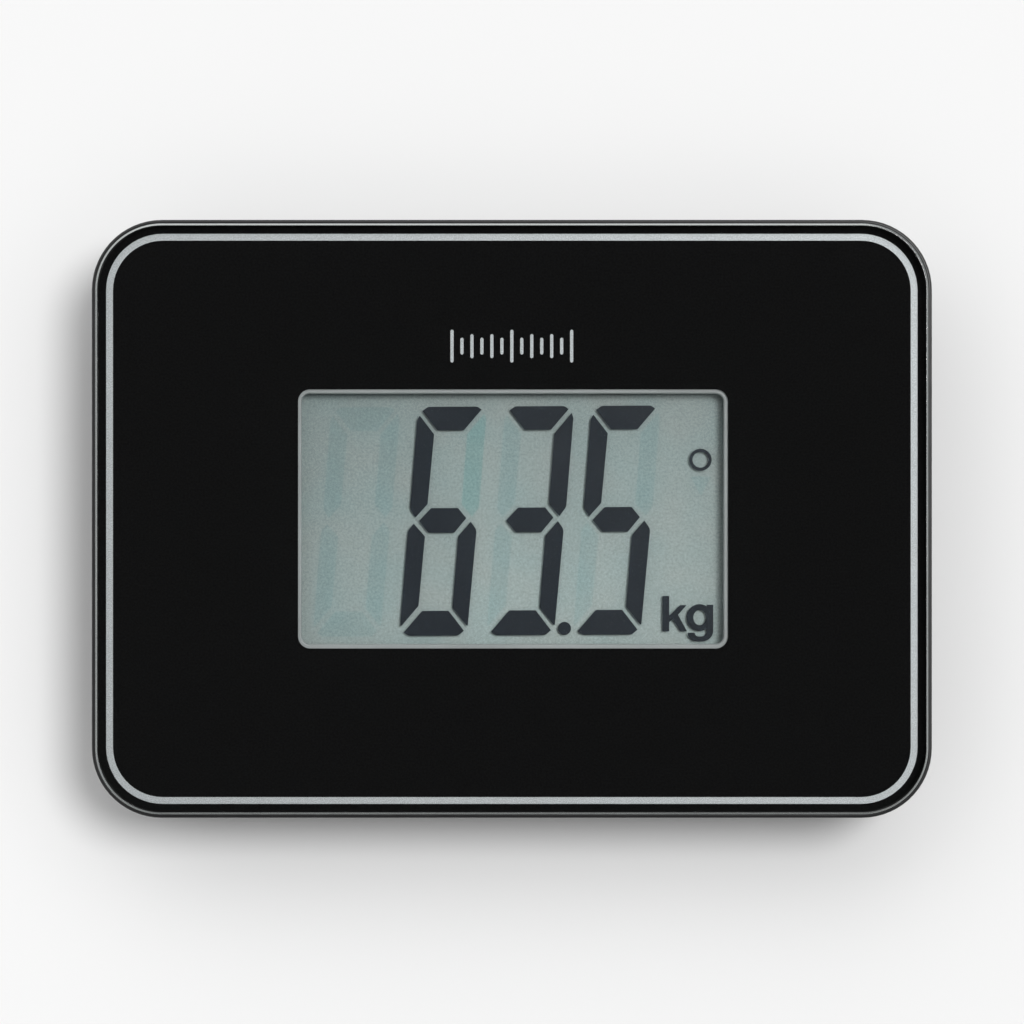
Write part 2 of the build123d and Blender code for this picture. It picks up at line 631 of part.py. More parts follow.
def contact_dimple(side, y):
    """The raised disc that meets a battery's button."""
    with BuildSketch(Plane.YZ.offset(side * BATTERY_END)) as disc:
        with Locations((y, BATTERY_Z)):
            Circle(2.2)
    extrude(disc.sketch, amount=-side * CONTACT_DIMPLE, taper=25)


def contact_spring(side, y):
    """A conical spring that narrows from the plate to the battery's flat end."""
    rise = SPRING_LENGTH - 2 * SPRING_WIRE
    foot = (side * (BATTERY_END - SPRING_WIRE / 2), y, BATTERY_Z)
    with BuildLine() as coil:
        Helix(1.5, rise, 3.4, foot, (-side, 0, 0), -degrees(atan(1.2 / rise)))
    with BuildSketch(Plane(origin=coil.line @ 0, z_dir=coil.line % 0)) as wire:
        Circle(SPRING_WIRE)
    sweep(wire.sketch, path=coil.line, is_frenet=True)


def contact_tab(y):
    """The tab that carries a lead, through the tub's right wall."""
    x_range = (BATTERY_END + CONTACT_PLATE, CONTACT_TAB_END)
    block(x_range, (y - 1, y + 1), (CONTACT_TAB_Z - 0.5, CONTACT_TAB_Z + 0.5))


with BuildPart() as contact_link:
    contact_plate(-1, (FRONT_BATTERY_Y - 4.5, REAR_BATTERY_Y + 4.5))
    contact_dimple(-1, FRONT_BATTERY_Y)
    contact_spring(-1, REAR_BATTERY_Y)
save(contact_link, "contact_link")

with BuildPart() as contact_positive:
    contact_plate(1, (REAR_BATTERY_Y - 4.5, REAR_BATTERY_Y + 4.5))
    contact_dimple(1, REAR_BATTERY_Y)
    contact_tab(REAR_BATTERY_Y)
save(contact_positive, "contact_positive")

with BuildPart() as contact_negative:
    contact_plate(1, (FRONT_BATTERY_Y - 4.5, FRONT_BATTERY_Y + 4.5))
    contact_spring(1, FRONT_BATTERY_Y)
    contact_tab(FRONT_BATTERY_Y)
save(contact_negative, "contact_negative")

# ---------------------------------------------------------------- unit selector

LEVER_BOTTOM = 10.4
SWITCH_BOTTOM = 13.2
REST_X = SELECTOR_X - SELECTOR_TRAVEL / 2  # the slider rests at its left end
LEVER_SIZE = 2.0

with BuildPart() as unit_switch:
    with Locations((SELECTOR_X, SELECTOR_Y, SWITCH_BOTTOM)):
        Box(11, 5.5, BOARD_BOTTOM - SWITCH_BOTTOM, align=BOTTOM_UP)
        Box(
            LEVER_SIZE + SELECTOR_TRAVEL + 0.4, LEVER_SIZE + 0.4, 2.2, align=BOTTOM_UP, mode=Mode.SUBTRACT
        )
save(unit_switch, "unit_switch")

with BuildPart() as unit_switch_lever:
    with Locations((REST_X, SELECTOR_Y, LEVER_BOTTOM)):
        Box(LEVER_SIZE, LEVER_SIZE, SWITCH_BOTTOM + 2 - LEVER_BOTTOM, align=BOTTOM_UP)
save(unit_switch_lever, "unit_switch_lever")

with BuildPart() as unit_knob:
    with Locations((REST_X, SELECTOR_Y, COVER_FLOOR + 0.3)):
        Box(18, 9, 1.4, align=BOTTOM_UP)
        Box(5, 6, 5.2, align=BOTTOM_UP)
    with Locations((REST_X, SELECTOR_Y, LEVER_BOTTOM - 0.2)):
        Box(LEVER_SIZE + 0.2, 6, 2, align=BOTTOM_UP, mode=Mode.SUBTRACT)
    with Locations((REST_X, SELECTOR_Y, COVER_BOTTOM + 0.4)):
        Box(KNOB_GRIP, 4.2, COVER_FLOOR - COVER_BOTTOM, align=BOTTOM_UP)
    for groove_x in (REST_X - 1.2, REST_X, REST_X + 1.2):
        block(
            (groove_x - 0.25, groove_x + 0.25),
            (SELECTOR_Y - 2.1, SELECTOR_Y + 2.1),
            (COVER_BOTTOM + 0.4, COVER_BOTTOM + 0.8),
            Mode.SUBTRACT,
        )
save(unit_knob, "unit_knob")

# ---------------------------------------------------------------- load cells and feet

RETAINER_THICKNESS = 2.0
RETAINER_BOTTOM = CELL_BOTTOM - RETAINER_THICKNESS
CELL_WINDOW = 21.0
TONGUE_WIDTH = 11.0
FLANGE_BOTTOM = COVER_FLOOR + FOOT_DOWN_TRAVEL + 0.1
FLANGE_TOP = FLANGE_BOTTOM + 1.4
FOOT_UNDERSIDE = 1.2
TIP_RADIUS = 6.0

for corner, (sx, sy) in CORNERS.items():
    foot_x, foot_y = sx * FOOT_X, sy * FOOT_Y

    # Steel plate: an outer frame, and a tongue rooted on the side nearer the board.
    with BuildPart() as load_cell:
        with BuildSketch(Plane((foot_x, foot_y, CELL_BOTTOM), x_dir=(sx, 0, 0))):
            RectangleRounded(CELL_SIZE, CELL_SIZE, 4)
            Rectangle(CELL_WINDOW, CELL_WINDOW, mode=Mode.SUBTRACT)
            with Locations((-CELL_WINDOW / 2 - 1, 0)):
                Rectangle(
                    CELL_WINDOW - 1, TONGUE_WIDTH, align=(Align.MIN, Align.CENTER)
                )
        extrude(amount=CELL_THICKNESS)
    save(load_cell, f"load_cell_{corner}")

    # Silicone over the strain gauge, on the tongue's root.
    sealant_x = foot_x - sx * 8.5
    with BuildPart() as gauge_sealant:
        with BuildSketch(Plane.XY.offset(CELL_TOP)):
            with Locations((sealant_x, foot_y)):
                RectangleRounded(6, 6, 1)
        extrude(amount=1.8)
        fillet(gauge_sealant.faces().sort_by(Axis.Z)[-1].edges(), 0.4)
    save(gauge_sealant, f"gauge_sealant_{corner}")

    # Plastic ring, screwed up under the cell, which clamps the cell's frame in its seat.
    with BuildPart() as cell_retainer:
        ears = retainer_screw_places(sx, sy)
        with BuildSketch(Plane.XY.offset(RETAINER_BOTTOM)):
            with Locations((foot_x, foot_y)):
                RectangleRounded(SEAT_OUTER, SEAT_OUTER, 6)
            with Locations(*ears):
                Circle(3.4)
            with Locations((foot_x, foot_y)):
                RectangleRounded(CELL_WINDOW, CELL_WINDOW, 3, mode=Mode.SUBTRACT)
            with Locations(*ears):
                Circle(1.3, mode=Mode.SUBTRACT)
        extrude(amount=RETAINER_THICKNESS)
    save(cell_retainer, f"cell_retainer_{corner}")

    # Foot: a disc through the cover, a flange that keeps it in, and a post with a domed tip.
    with BuildPart() as foot:
        here = [(foot_x, foot_y)]
        posts(here, FOOT_RADIUS, FOOT_UNDERSIDE, FLANGE_BOTTOM)
        fillet(foot.edges().sort_by(Axis.Z)[0], 0.8)
        posts(here, FLANGE_RADIUS, FLANGE_BOTTOM, FLANGE_TOP)
        posts(here, 4.5, FLANGE_TOP, CELL_BOTTOM - 1)
        with BuildSketch(Plane.XZ.offset(-foot_y)):
            with Locations((foot_x, CELL_BOTTOM - TIP_RADIUS)):
                Circle(TIP_RADIUS)
            with Locations((foot_x, CELL_BOTTOM - 1)):
                Rectangle(4.5, 1, align=(Align.MIN, Align.MIN), mode=Mode.INTERSECT)
        revolve(axis=Axis((foot_x, foot_y, 0), (0, 0, 1)))
        posts(here, PAD_RADIUS + 0.1, FOOT_UNDERSIDE, PAD_THICKNESS, Mode.SUBTRACT)
    save(foot, f"foot_{corner}")

    # Rubber pad, glued into the foot's underside.
    with BuildPart() as foot_pad:
        posts([(foot_x, foot_y)], PAD_RADIUS, 0, PAD_THICKNESS)
        chamfer(foot_pad.edges().sort_by(Axis.Z)[0], 0.5)
    save(foot_pad, f"foot_pad_{corner}")

with BuildPart() as retainer_screws:
    screws_from_below(RETAINER_SCREWS, 2.1, RETAINER_BOTTOM - 1.5, 1.5, 1.05, DECK_BOTTOM - 3)
save(retainer_screws, "retainer_screws")

# ---------------------------------------------------------------- leads


def lead(points, bend_radius, name):
    """A round lead along straight runs joined by arcs, for one STEP file."""
    with BuildPart() as tube:
        with BuildLine() as route:
            FilletPolyline(*points, radius=bend_radius)
        with BuildSketch(Plane(origin=route.line @ 0, z_dir=route.line % 0)):
            Circle(LEAD_RADIUS)
        sweep(path=route.line)
    save(tube, name)


for corner, (sx, sy) in CORNERS.items():
    route_points = [
        (sx * (FOOT_X - 11.5), sy * FOOT_Y, LEAD_Z),
        (sx * (CELL_SOCKET_X + 6), sy * FOOT_Y, LEAD_Z),
        (sx * CELL_SOCKET_X, sy * (FOOT_Y - 6), LEAD_Z),
        (sx * CELL_SOCKET_X, sy * SOCKET_OUTER_Y, LEAD_Z),
    ]
    lead(route_points, 5, f"cell_lead_{corner}")

positive_route = [
    (CONTACT_TAB_END, REAR_BATTERY_Y, CONTACT_TAB_Z),
    (POSITIVE_SOCKET_X, REAR_BATTERY_Y, CONTACT_TAB_Z),
    (POSITIVE_SOCKET_X, -SOCKET_OUTER_Y - 6, LEAD_Z),
    (POSITIVE_SOCKET_X, -SOCKET_OUTER_Y, LEAD_Z),
]
lead(positive_route, 2.5, "battery_lead_positive")

negative_route = [
    (CONTACT_TAB_END, FRONT_BATTERY_Y, CONTACT_TAB_Z),
    (NEGATIVE_SOCKET_X - 7, FRONT_BATTERY_Y, CONTACT_TAB_Z),
    (NEGATIVE_SOCKET_X, FRONT_BATTERY_Y + 9, CONTACT_TAB_Z + 0.6),
    (NEGATIVE_SOCKET_X, -SOCKET_OUTER_Y - 6, LEAD_Z),
    (NEGATIVE_SOCKET_X, -SOCKET_OUTER_Y, LEAD_Z),
]
lead(negative_route, 2.5, "battery_lead_negative")
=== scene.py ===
# %% [markdown]
# # A digital bathroom scale
# The scale is a black glass platform with a large display in its middle. The glass lies in a thin
# moulded rim, and the case under it stands on four sprung feet. The sizes and the moving parts
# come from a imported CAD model, which is loaded as a fixed frame. This lesson adds the looks:
# a finish on every part, and new surfaces where light shows more than the CAD shape holds.

# %% Load the frame
import json
import math

import bmesh
import bpy
import numpy as np
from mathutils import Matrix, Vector

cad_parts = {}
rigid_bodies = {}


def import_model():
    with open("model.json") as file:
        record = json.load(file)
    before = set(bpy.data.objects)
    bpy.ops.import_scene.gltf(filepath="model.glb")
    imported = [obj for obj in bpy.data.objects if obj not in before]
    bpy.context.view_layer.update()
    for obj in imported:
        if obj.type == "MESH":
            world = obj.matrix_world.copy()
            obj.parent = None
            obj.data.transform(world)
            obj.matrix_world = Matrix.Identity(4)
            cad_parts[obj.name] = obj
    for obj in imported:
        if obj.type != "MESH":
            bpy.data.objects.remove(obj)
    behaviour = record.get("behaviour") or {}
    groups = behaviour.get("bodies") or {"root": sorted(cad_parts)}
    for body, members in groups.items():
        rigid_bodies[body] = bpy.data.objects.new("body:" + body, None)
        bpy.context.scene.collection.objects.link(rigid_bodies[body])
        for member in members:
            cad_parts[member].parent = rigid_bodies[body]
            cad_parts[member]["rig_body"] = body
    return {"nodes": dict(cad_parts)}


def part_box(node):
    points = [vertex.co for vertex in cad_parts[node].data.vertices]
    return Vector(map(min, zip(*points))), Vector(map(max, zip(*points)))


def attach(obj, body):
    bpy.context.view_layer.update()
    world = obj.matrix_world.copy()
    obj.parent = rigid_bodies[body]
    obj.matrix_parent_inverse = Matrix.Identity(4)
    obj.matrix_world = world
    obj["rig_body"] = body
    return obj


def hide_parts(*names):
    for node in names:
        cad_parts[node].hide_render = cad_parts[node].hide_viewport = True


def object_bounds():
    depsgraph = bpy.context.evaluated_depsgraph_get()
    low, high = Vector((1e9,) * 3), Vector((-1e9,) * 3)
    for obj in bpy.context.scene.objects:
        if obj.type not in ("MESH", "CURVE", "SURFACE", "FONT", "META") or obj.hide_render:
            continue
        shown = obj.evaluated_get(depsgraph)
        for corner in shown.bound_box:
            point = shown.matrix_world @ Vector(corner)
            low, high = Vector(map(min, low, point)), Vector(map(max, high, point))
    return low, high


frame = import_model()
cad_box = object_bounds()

MM = 0.001
print("CAD box in mm:", [[round(c / MM, 2) for c in corner] for corner in cad_box])

# %% [markdown]
# ## Reading places from the frame
# Every place in this lesson starts from a CAD part's own box, so the new surfaces fit without
# any nudging. Working in millimetres keeps the numbers easy to compare with a real scale.

# %% Boxes in millimetres
def span(node):
    """A CAD part's lowest and highest corner in millimetres: metres over a thousandth."""
    low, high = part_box(node)
    return np.array(low) / MM, np.array(high) / MM


glass_low, glass_high = span("glass_platform")
print("glass platform spans", glass_low.round(2), "to", glass_high.round(2))

# %% [markdown]
# ## A net of points
# Nearly every surface here is a net: rows of points, where each row is one outline of the piece
# and the next row is the next outline. Four neighbours make a face. A net can be joined to
# itself round the outline, and from its last row to its first, which gives a closed ring.

# %% Faces of a net
def net(rows, columns, rows_join=False, columns_join=True):
    """Point numbers of the quads of a net. Point (r, c) has number r x columns + c."""
    row = np.arange(rows if rows_join else rows - 1)[:, None]
    column = np.arange(columns if columns_join else columns - 1)[None, :]
    next_row = (row + 1) % rows
    next_column = (column + 1) % columns
    corners = [
        row * columns + column,
        row * columns + next_column,
        next_row * columns + next_column,
        next_row * columns + column,
    ]
    return np.stack(corners, axis=-1).reshape(-1, 4).tolist()


print("a net of 3 x 4 points has", len(net(3, 4)), "faces")

# %% [markdown]
# ## Rounded rectangles, one above another
# Glass plates, the display's frame and the floor of a recess are all rounded rectangles stacked
# in height. Extruding and bevelling boxes would also do, but a stack keeps each edge's rounding
# as numbers, and the rows line up, so a wall can lean or a lip can be rolled by changing a row.

# %% The stack
CORNER_STEPS = 24


def stack(rows, rows_join=False, centre=(0.0, 0.0), steps=CORNER_STEPS):
    """Rounded rectangles carried upwards. A row is (half width, half depth, radius, height).
    Round each corner x = centre + sign (half - radius) + radius cos(turn), and y likewise with
    the sine. The centre is one for all rows, or one for each."""
    half_x, half_y, radius, height = np.array(rows, float).T[:, :, None]
    quarter = np.linspace(0, math.pi / 2, steps)
    turn = np.concatenate([quarter + k * math.pi / 2 for k in range(4)])
    sign_x = np.repeat([1, -1, -1, 1], steps)
    sign_y = np.repeat([1, 1, -1, -1], steps)
    middle = np.broadcast_to(centre, (len(rows), 2))
    x = middle[:, :1] + sign_x * (half_x - radius) + radius * np.cos(turn)
    y = middle[:, 1:] + sign_y * (half_y - radius) + radius * np.sin(turn)
    z = np.broadcast_to(height, x.shape)
    points = np.stack([x, y, z], axis=-1).reshape(-1, 3)
    count = 4 * steps
    faces = net(len(rows), count, rows_join)
    if not rows_join:
        faces.append(list(range(count))[::-1])
        faces.append(list(range((len(rows) - 1) * count, len(rows) * count)))
    return points, faces


print("a two-row stack has", len(stack([(5, 4, 1, 0), (5, 4, 1, 2)])[0]), "points")

# %% [markdown]
# ## Rounded corners on any outline
# No moulded or cut edge is perfectly sharp. It has a small radius, and that radius is what
# catches the light. One function rounds the corners of any flat outline, so it serves both for
# the section of a foot and for the shape of a display segment.

# %% Softened outlines
def softened(corners, radii, steps=7):
    """Each corner becomes an arc tangent to both its sides. The arc's centre lies on the
    corner's bisector, at the radius over the sine of half the corner's angle."""
    corners = np.array(corners, float)
    radii = np.broadcast_to(np.array(radii, float), len(corners))[:, None]
    back = np.roll(corners, 1, axis=0) - corners
    ahead = np.roll(corners, -1, axis=0) - corners
    back /= np.linalg.norm(back, axis=1, keepdims=True)
    ahead /= np.linalg.norm(ahead, axis=1, keepdims=True)
    bisector = back + ahead
    bisector /= np.linalg.norm(bisector, axis=1, keepdims=True)
    cosine = (back * bisector).sum(axis=1, keepdims=True)
    sine = np.sqrt(1 - cosine**2)
    centre = corners + bisector * radii / sine
    start = corners + back * radii * cosine / sine - centre
    end = corners + ahead * radii * cosine / sine - centre
    share = np.linspace(0, 1, steps)[None, :, None]
    spoke = start[:, None] * (1 - share) + end[:, None] * share
    length = np.linalg.norm(spoke, axis=2, keepdims=True)
    spoke *= radii[:, None] / np.maximum(length, 1e-9)
    return (centre[:, None] + spoke).reshape(-1, 2)


print("a softened square has", len(softened([(0, 0), (1, 0), (1, 1), (0, 1)], 0.1)), "points")

# %% Turned shapes, flat plates and flat rings
def turned(profile, centre, steps=96):
    """A section of (radius, height) points carried round an upright axis:
    x = centre + radius cos(angle), y = centre + radius sin(angle)."""
    radius, height = np.array(profile, float).T[:, :, None]
    angle = np.linspace(0, 2 * math.pi, steps, endpoint=False)
    x = centre[0] + radius * np.cos(angle)
    y = centre[1] + radius * np.sin(angle)
    z = np.broadcast_to(height, x.shape)
    return np.stack([x, y, z], axis=-1).reshape(-1, 3), net(len(profile), steps)


def raised(outline, height):
    """A flat outline set at one height."""
    return np.column_stack([outline, np.full(len(outline), height)])


def flat_plate(outline, low, high):
    """An outline at two heights, the wall between them, and a face on each end."""
    count = len(outline)
    points = np.concatenate([raised(outline, low), raised(outline, high)])
    faces = net(2, count)
    faces += [list(range(count))[::-1], list(range(count, 2 * count))]
    return points, faces


def flat_ring(outer, inner, low, high):
    """Two outlines with as many points each, as the edges of a flat closed ring."""
    rows = [raised(outer, low), raised(outer, high), raised(inner, high), raised(inner, low)]
    return np.concatenate(rows), net(4, len(outer), rows_join=True)


square = [(1, 0), (2, 0), (2, 1), (1, 1)]
print("a square turned round an axis has", len(turned(square, (0, 0))[0]), "points")

# %% [markdown]
# ## Making a piece
# A piece is one object that rides on a body of the frame. Its points are merged where rows
# meet at a pole, and its faces are turned outwards. Shading is smooth except across edges that
# really are sharp, and normals are weighted by area, so that a big flat face stays flat to the
# eye right up to its small rounded edge.

# %% Pieces and refined copies
SHARP_ANGLE = math.radians(32)
MERGE = 1e-6  # metres


def merged(name, points, faces, outwards):
    """A mesh in which points nearer than MERGE are one. Its faces can be turned outwards."""
    mesh = bpy.data.meshes.new(name)
    mesh.from_pydata(points, [], faces)
    shell = bmesh.new()
    shell.from_mesh(mesh)
    bmesh.ops.remove_doubles(shell, verts=shell.verts, dist=MERGE)
    if outwards:
        bmesh.ops.recalc_face_normals(shell, faces=shell.faces)
    shell.to_mesh(mesh)
    shell.free()
    return mesh


def finished(name, mesh, body, replaced):
    """Shades a mesh, and ties its object to the frame."""
    mesh.shade_smooth()
    mesh.set_sharp_from_angle(angle=SHARP_ANGLE)
    piece = bpy.data.objects.new(name, mesh)
    bpy.context.scene.collection.objects.link(piece)
    weighted = piece.modifiers.new("even shading", "WEIGHTED_NORMAL")
    weighted.keep_sharp = True
    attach(piece, body)
    if replaced:
        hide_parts(*replaced)
    return piece


def make(name, parts, finish, body, replaced=()):
    """Joins parts, each (points in mm, faces), into one piece with one finish."""
    starts = np.cumsum([0] + [len(points) for points, _ in parts])
    points = np.concatenate([points for points, _ in parts]) * MM
    faces = [[i + start for i in face] for (_, some), start in zip(parts, starts) for face in some]
    mesh = merged(name, points, faces, outwards=True)
    mesh.materials.append(finish)
    print(f"{name}: {len(mesh.polygons)} faces")
    return finished(name, mesh, body, replaced)


def refine(node, name, finish):
    """Stands in for a CAD part whose shape is right. The copy's loose triangles are merged,
    so that it can be shaded smoothly across its rounded edges."""
    source = frame["nodes"][node]
    triangles = np.empty(len(source.data.polygons) * 3, int)
    source.data.loops.foreach_get("vertex_index", triangles)
    points = np.empty(len(source.data.vertices) * 3)
    source.data.vertices.foreach_get("co", points)
    mesh = merged(name, points.reshape(-1, 3), triangles.reshape(-1, 3), outwards=False)
    mesh.materials.append(finish)
    return finished(name, mesh, source["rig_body"], [node])


def coat(piece, finish, choose):
    """Gives a second finish to the faces that choose(centres in mm, normals) picks."""
    mesh = piece.data
    centres = np.empty(len(mesh.polygons) * 3)
    normals = np.empty(len(mesh.polygons) * 3)
    mesh.polygons.foreach_get("center", centres)
    mesh.polygons.foreach_get("normal", normals)
    picked = choose(centres.reshape(-1, 3) / MM, normals.reshape(-1, 3))
    index = np.empty(len(mesh.polygons), np.int32)
    mesh.polygons.foreach_get("material_index", index)
    index[picked] = len(mesh.materials)
    mesh.materials.append(finish)
    mesh.polygons.foreach_set("material_index", index)
    print(f"{piece.name}: {int(picked.sum())} faces take {finish.name}")


print("points within", MERGE, "m are merged, edges over", math.degrees(SHARP_ANGLE), "are sharp")

# %% [markdown]
# ## Finishes
# A finish is a small graph of shader nodes. Each one starts from the object's own coordinates,
# so that its grain has a true size in millimetres, and ends in one shader. The helpers below
# keep a graph readable: add a node, ask for a cloudy noise, blend two colours with it.

# %% Node helpers
def shade(red, green, blue):
    """A colour as a screen shows it, 0 to 255, turned into linear light by the sRGB curve."""
    values = np.array([red, green, blue]) / 255
    linear = np.where(values <= 0.04045, values / 12.92, ((values + 0.055) / 1.055) ** 2.4)
    return (*linear.tolist(), 1.0)


def scaled(colour, factor):
    """A colour made lighter or darker by one factor."""
    return (*[channel * factor for channel in colour[:3]], 1.0)


def start_finish(name):
    """An empty material, ready for its nodes."""
    finish = bpy.data.materials.new(name)
    finish.use_nodes = True
    finish.node_tree.nodes.clear()
    return finish


def add(finish, kind, inputs=(), output=0, **settings):
    """Adds one node and returns one of its outputs. An input is a number, a colour or
    another node's output."""
    node = finish.node_tree.nodes.new("ShaderNode" + kind)
    for name, value in settings.items():
        setattr(node, name, value)
    for socket, value in dict(inputs).items():
        if isinstance(value, bpy.types.NodeSocket):
            finish.node_tree.links.new(value, node.inputs[socket])
        else:
            node.inputs[socket].default_value = value
    return node.outputs[output] if node.outputs else None


def end_finish(finish, shader):
    """Links the last shader to the material's output, which has no outputs of its own."""
    add(finish, "OutputMaterial", {"Surface": shader})
    return finish


def place(finish, stretch=(1, 1, 1)):
    """The point on the piece, from the object's own coordinates, stretched along its axes."""
    where = add(finish, "TexCoord", output="Object")
    return add(finish, "Mapping", {"Vector": where, "Scale": stretch})


def cloud(finish, size, detail=3.0, stretch=(1, 1, 1)):
    """Noise from about 0.3 to 0.7, in blotches of about size millimetres."""
    spots = {"Vector": place(finish, stretch), "Scale": 1 / (size * MM), "Detail": detail}
    return add(finish, "TexNoise", spots)


def between(finish, amount, low, high, start=0.3, end=0.7):
    """Carries an amount from the range start to end over to the range low to high."""
    limits = {"Value": amount, "From Min": start, "From Max": end, "To Min": low, "To Max": high}
    return add(finish, "MapRange", limits)


def blend(finish, amount, first, second):
    """A colour on the way from first to second."""
    return add(finish, "Mix", {0: amount, 6: first, 7: second}, output=2, data_type="RGBA")


def multiply(finish, first, second):
    """Two colours, channel times channel."""
    colours = {0: 1.0, 6: first, 7: second}
    return add(finish, "Mix", colours, output=2, data_type="RGBA", blend_type="MULTIPLY")


def dented(finish, height, depth):
    """A normal bent by a height from 0 to 1 that is worth depth millimetres."""
    return add(finish, "Bump", {"Height": height, "Distance": depth * MM, "Strength": 1.0})


print("a mid grey on screen is", round(shade(128, 128, 128)[0], 3), "in linear light")


# %% [markdown]
# ### Moulded plastic, rubber and foam
# A mould is spark-eroded, so the plastic copies a fine matt grain. The colour drifts a little
# over the part where the melt flowed, and handling polishes some patches. A roughness map and a
# shallow bump show all this. A picture of plastic would repeat, so the grain is worked out.

# %% Moulded finishes
DRIFT = 0.10  # how far the colour drifts, as a share


def moulded(name, colour, rough, grain, depth, specular=0.5):
    """Colour = the base colour times a slow cloud. Roughness = rough plus or minus a faster
    cloud. Bump = a fine cloud of grain millimetres. Specular = how strongly the skin shines."""
    finish = start_finish(name)
    slow = between(finish, cloud(finish, 28.0), 0.0, 1.0)
    tone = blend(finish, slow, scaled(colour, 1 - DRIFT), scaled(colour, 1 + DRIFT))
    polish = between(finish, cloud(finish, 5.0), rough - 0.05, rough + 0.05)
    bump = dented(finish, cloud(finish, grain, 2.0), depth)
    shader = {"Base Color": tone, "Roughness": polish, "Normal": bump}
    shader["Specular IOR Level"] = specular
    return end_finish(finish, add(finish, "BsdfPrincipled", shader))


MOULDED = {
    "case_plastic": (shade(15, 15, 16), 0.34, 0.30, 0.005, 0.45),
    "cover_plastic": (shade(16, 16, 17), 0.46, 0.45, 0.012, 0.40),
    "bezel_plastic": (shade(170, 173, 174), 0.45, 0.25, 0.004),
    "knob_plastic": (shade(150, 153, 156), 0.50, 0.30, 0.008),
    "switch_plastic": (shade(42, 42, 44), 0.45, 0.30, 0.006),
    "retainer_plastic": (shade(205, 203, 196), 0.50, 0.40, 0.008),
    "foot_plastic": (shade(32, 32, 34), 0.50, 0.35, 0.010),
    "pad_rubber": (shade(44, 45, 47), 0.78, 0.50, 0.020),
    "connector_rubber": (shade(58, 60, 64), 0.65, 0.40, 0.010),
    "foam_tape": (shade(235, 234, 228), 0.92, 0.55, 0.060),
    "chip_resin": (shade(26, 25, 27), 0.30, 1.20, 0.030),
    "ceramic_tan": (shade(178, 148, 112), 0.45, 0.20, 0.004),
    "socket_nylon": (shade(232, 230, 220), 0.42, 0.30, 0.004),
    "white_sealant": (shade(236, 236, 232), 0.35, 2.40, 0.060),
    "red_insulation": (shade(176, 38, 34), 0.38, 0.60, 0.006),
    "black_insulation": (shade(30, 30, 32), 0.40, 0.60, 0.006),
    "grey_insulation": (shade(120, 122, 126), 0.40, 0.60, 0.006),
}
finishes = {name: moulded(name, *recipe) for name, recipe in MOULDED.items()}
print("moulded finishes:", len(finishes))

# %% [markdown]
# ### Rolled and plated metal
# Sheet steel keeps the lines of the rolls, and nickel plating is smoother and warmer. Noise
# pulled out along one axis gives the lines. They change both the tone and the gloss.

# %% Metal finishes
def rolled(name, colour, rough, line=0.12, depth=0.003):
    """Noise stretched forty-fold along X gives roll lines of line millimetres."""
    finish = start_finish(name)
    lines = cloud(finish, line, 2.0, (0.025, 1.0, 1.0))
    stain = blend(finish, between(finish, cloud(finish, 6.0), 0, 1), scaled(colour, 0.86), colour)
    gloss = between(finish, lines, rough - 0.07, rough + 0.07)
    shader = {
        "Base Color": stain,
        "Metallic": 1.0,
        "Roughness": gloss,
        "Normal": dented(finish, lines, depth),
    }
    return end_finish(finish, add(finish, "BsdfPrincipled", shader))


METALS = {
    "bright_steel": (shade(200, 201, 204), 0.26),
    "nickel_plate": (shade(212, 206, 196), 0.20),
    "cell_steel": (shade(172, 174, 178), 0.36),
}
for name, recipe in METALS.items():
    finishes[name] = rolled(name, *recipe)
print("metal finishes:", len(METALS))

# %% [markdown]
# ### Clear layers
# The platform, the display's two glasses and its polarizer are clear. Real refraction through so
# many thin layers is slow and noisy, and they are too thin to bend what lies behind them by an
# amount that shows. So a clear layer is a mix: mostly a tinted see-through shader, and a mirror
# that takes over at low angles, by the Fresnel law. Where two layers are bonded there is no air
# between them, so their index is set to one, and they reflect nothing at any angle.

# %% Clear finishes
def clear(name, tint, index, rough, smear=0.0):
    """See-through times tint, mixed with gloss by the Fresnel share for that index."""
    finish = start_finish(name)
    gloss_inputs = {"Color": (1, 1, 1, 1), "Roughness": rough}
    if smear:
        gloss_inputs["Roughness"] = between(finish, cloud(finish, 14.0), rough, rough + smear)
    gloss = add(finish, "BsdfGlossy", gloss_inputs)
    through = add(finish, "BsdfTransparent", {"Color": (*tint, 1)})
    share = add(finish, "Fresnel", {"IOR": index})
    return end_finish(finish, add(finish, "MixShader", {0: share, 1: through, 2: gloss}))


BONDED = 1.0  # index of a layer with no air against it
finishes["platform_glass"] = clear("platform_glass", (0.975, 0.985, 0.98), 1.5, 0.02, 0.03)
finishes["bonded_glass"] = clear("bonded_glass", (0.99, 0.995, 0.992), BONDED, 0.1)
finishes["polarizer_face"] = clear("polarizer_face", (0.96, 0.975, 0.97), 1.5, 0.20, 0.03)
finishes["unlit_segment"] = clear("unlit_segment", (0.966, 0.992, 0.996), BONDED, 0.1)
finishes["fading_segment"] = clear("fading_segment", (0.930, 0.992, 0.993), BONDED, 0.1)
print("clear finishes ready")

# %% [markdown]
# ### The glass edge
# The upper bevel is cut and then polished on a belt, which leaves a satin band that mirrors the
# light low in the room. It is too rough to see through, so it is mostly a mirror, with a fine
# grain. The prints under the glass are inks with fine speckles, and share its recipe.

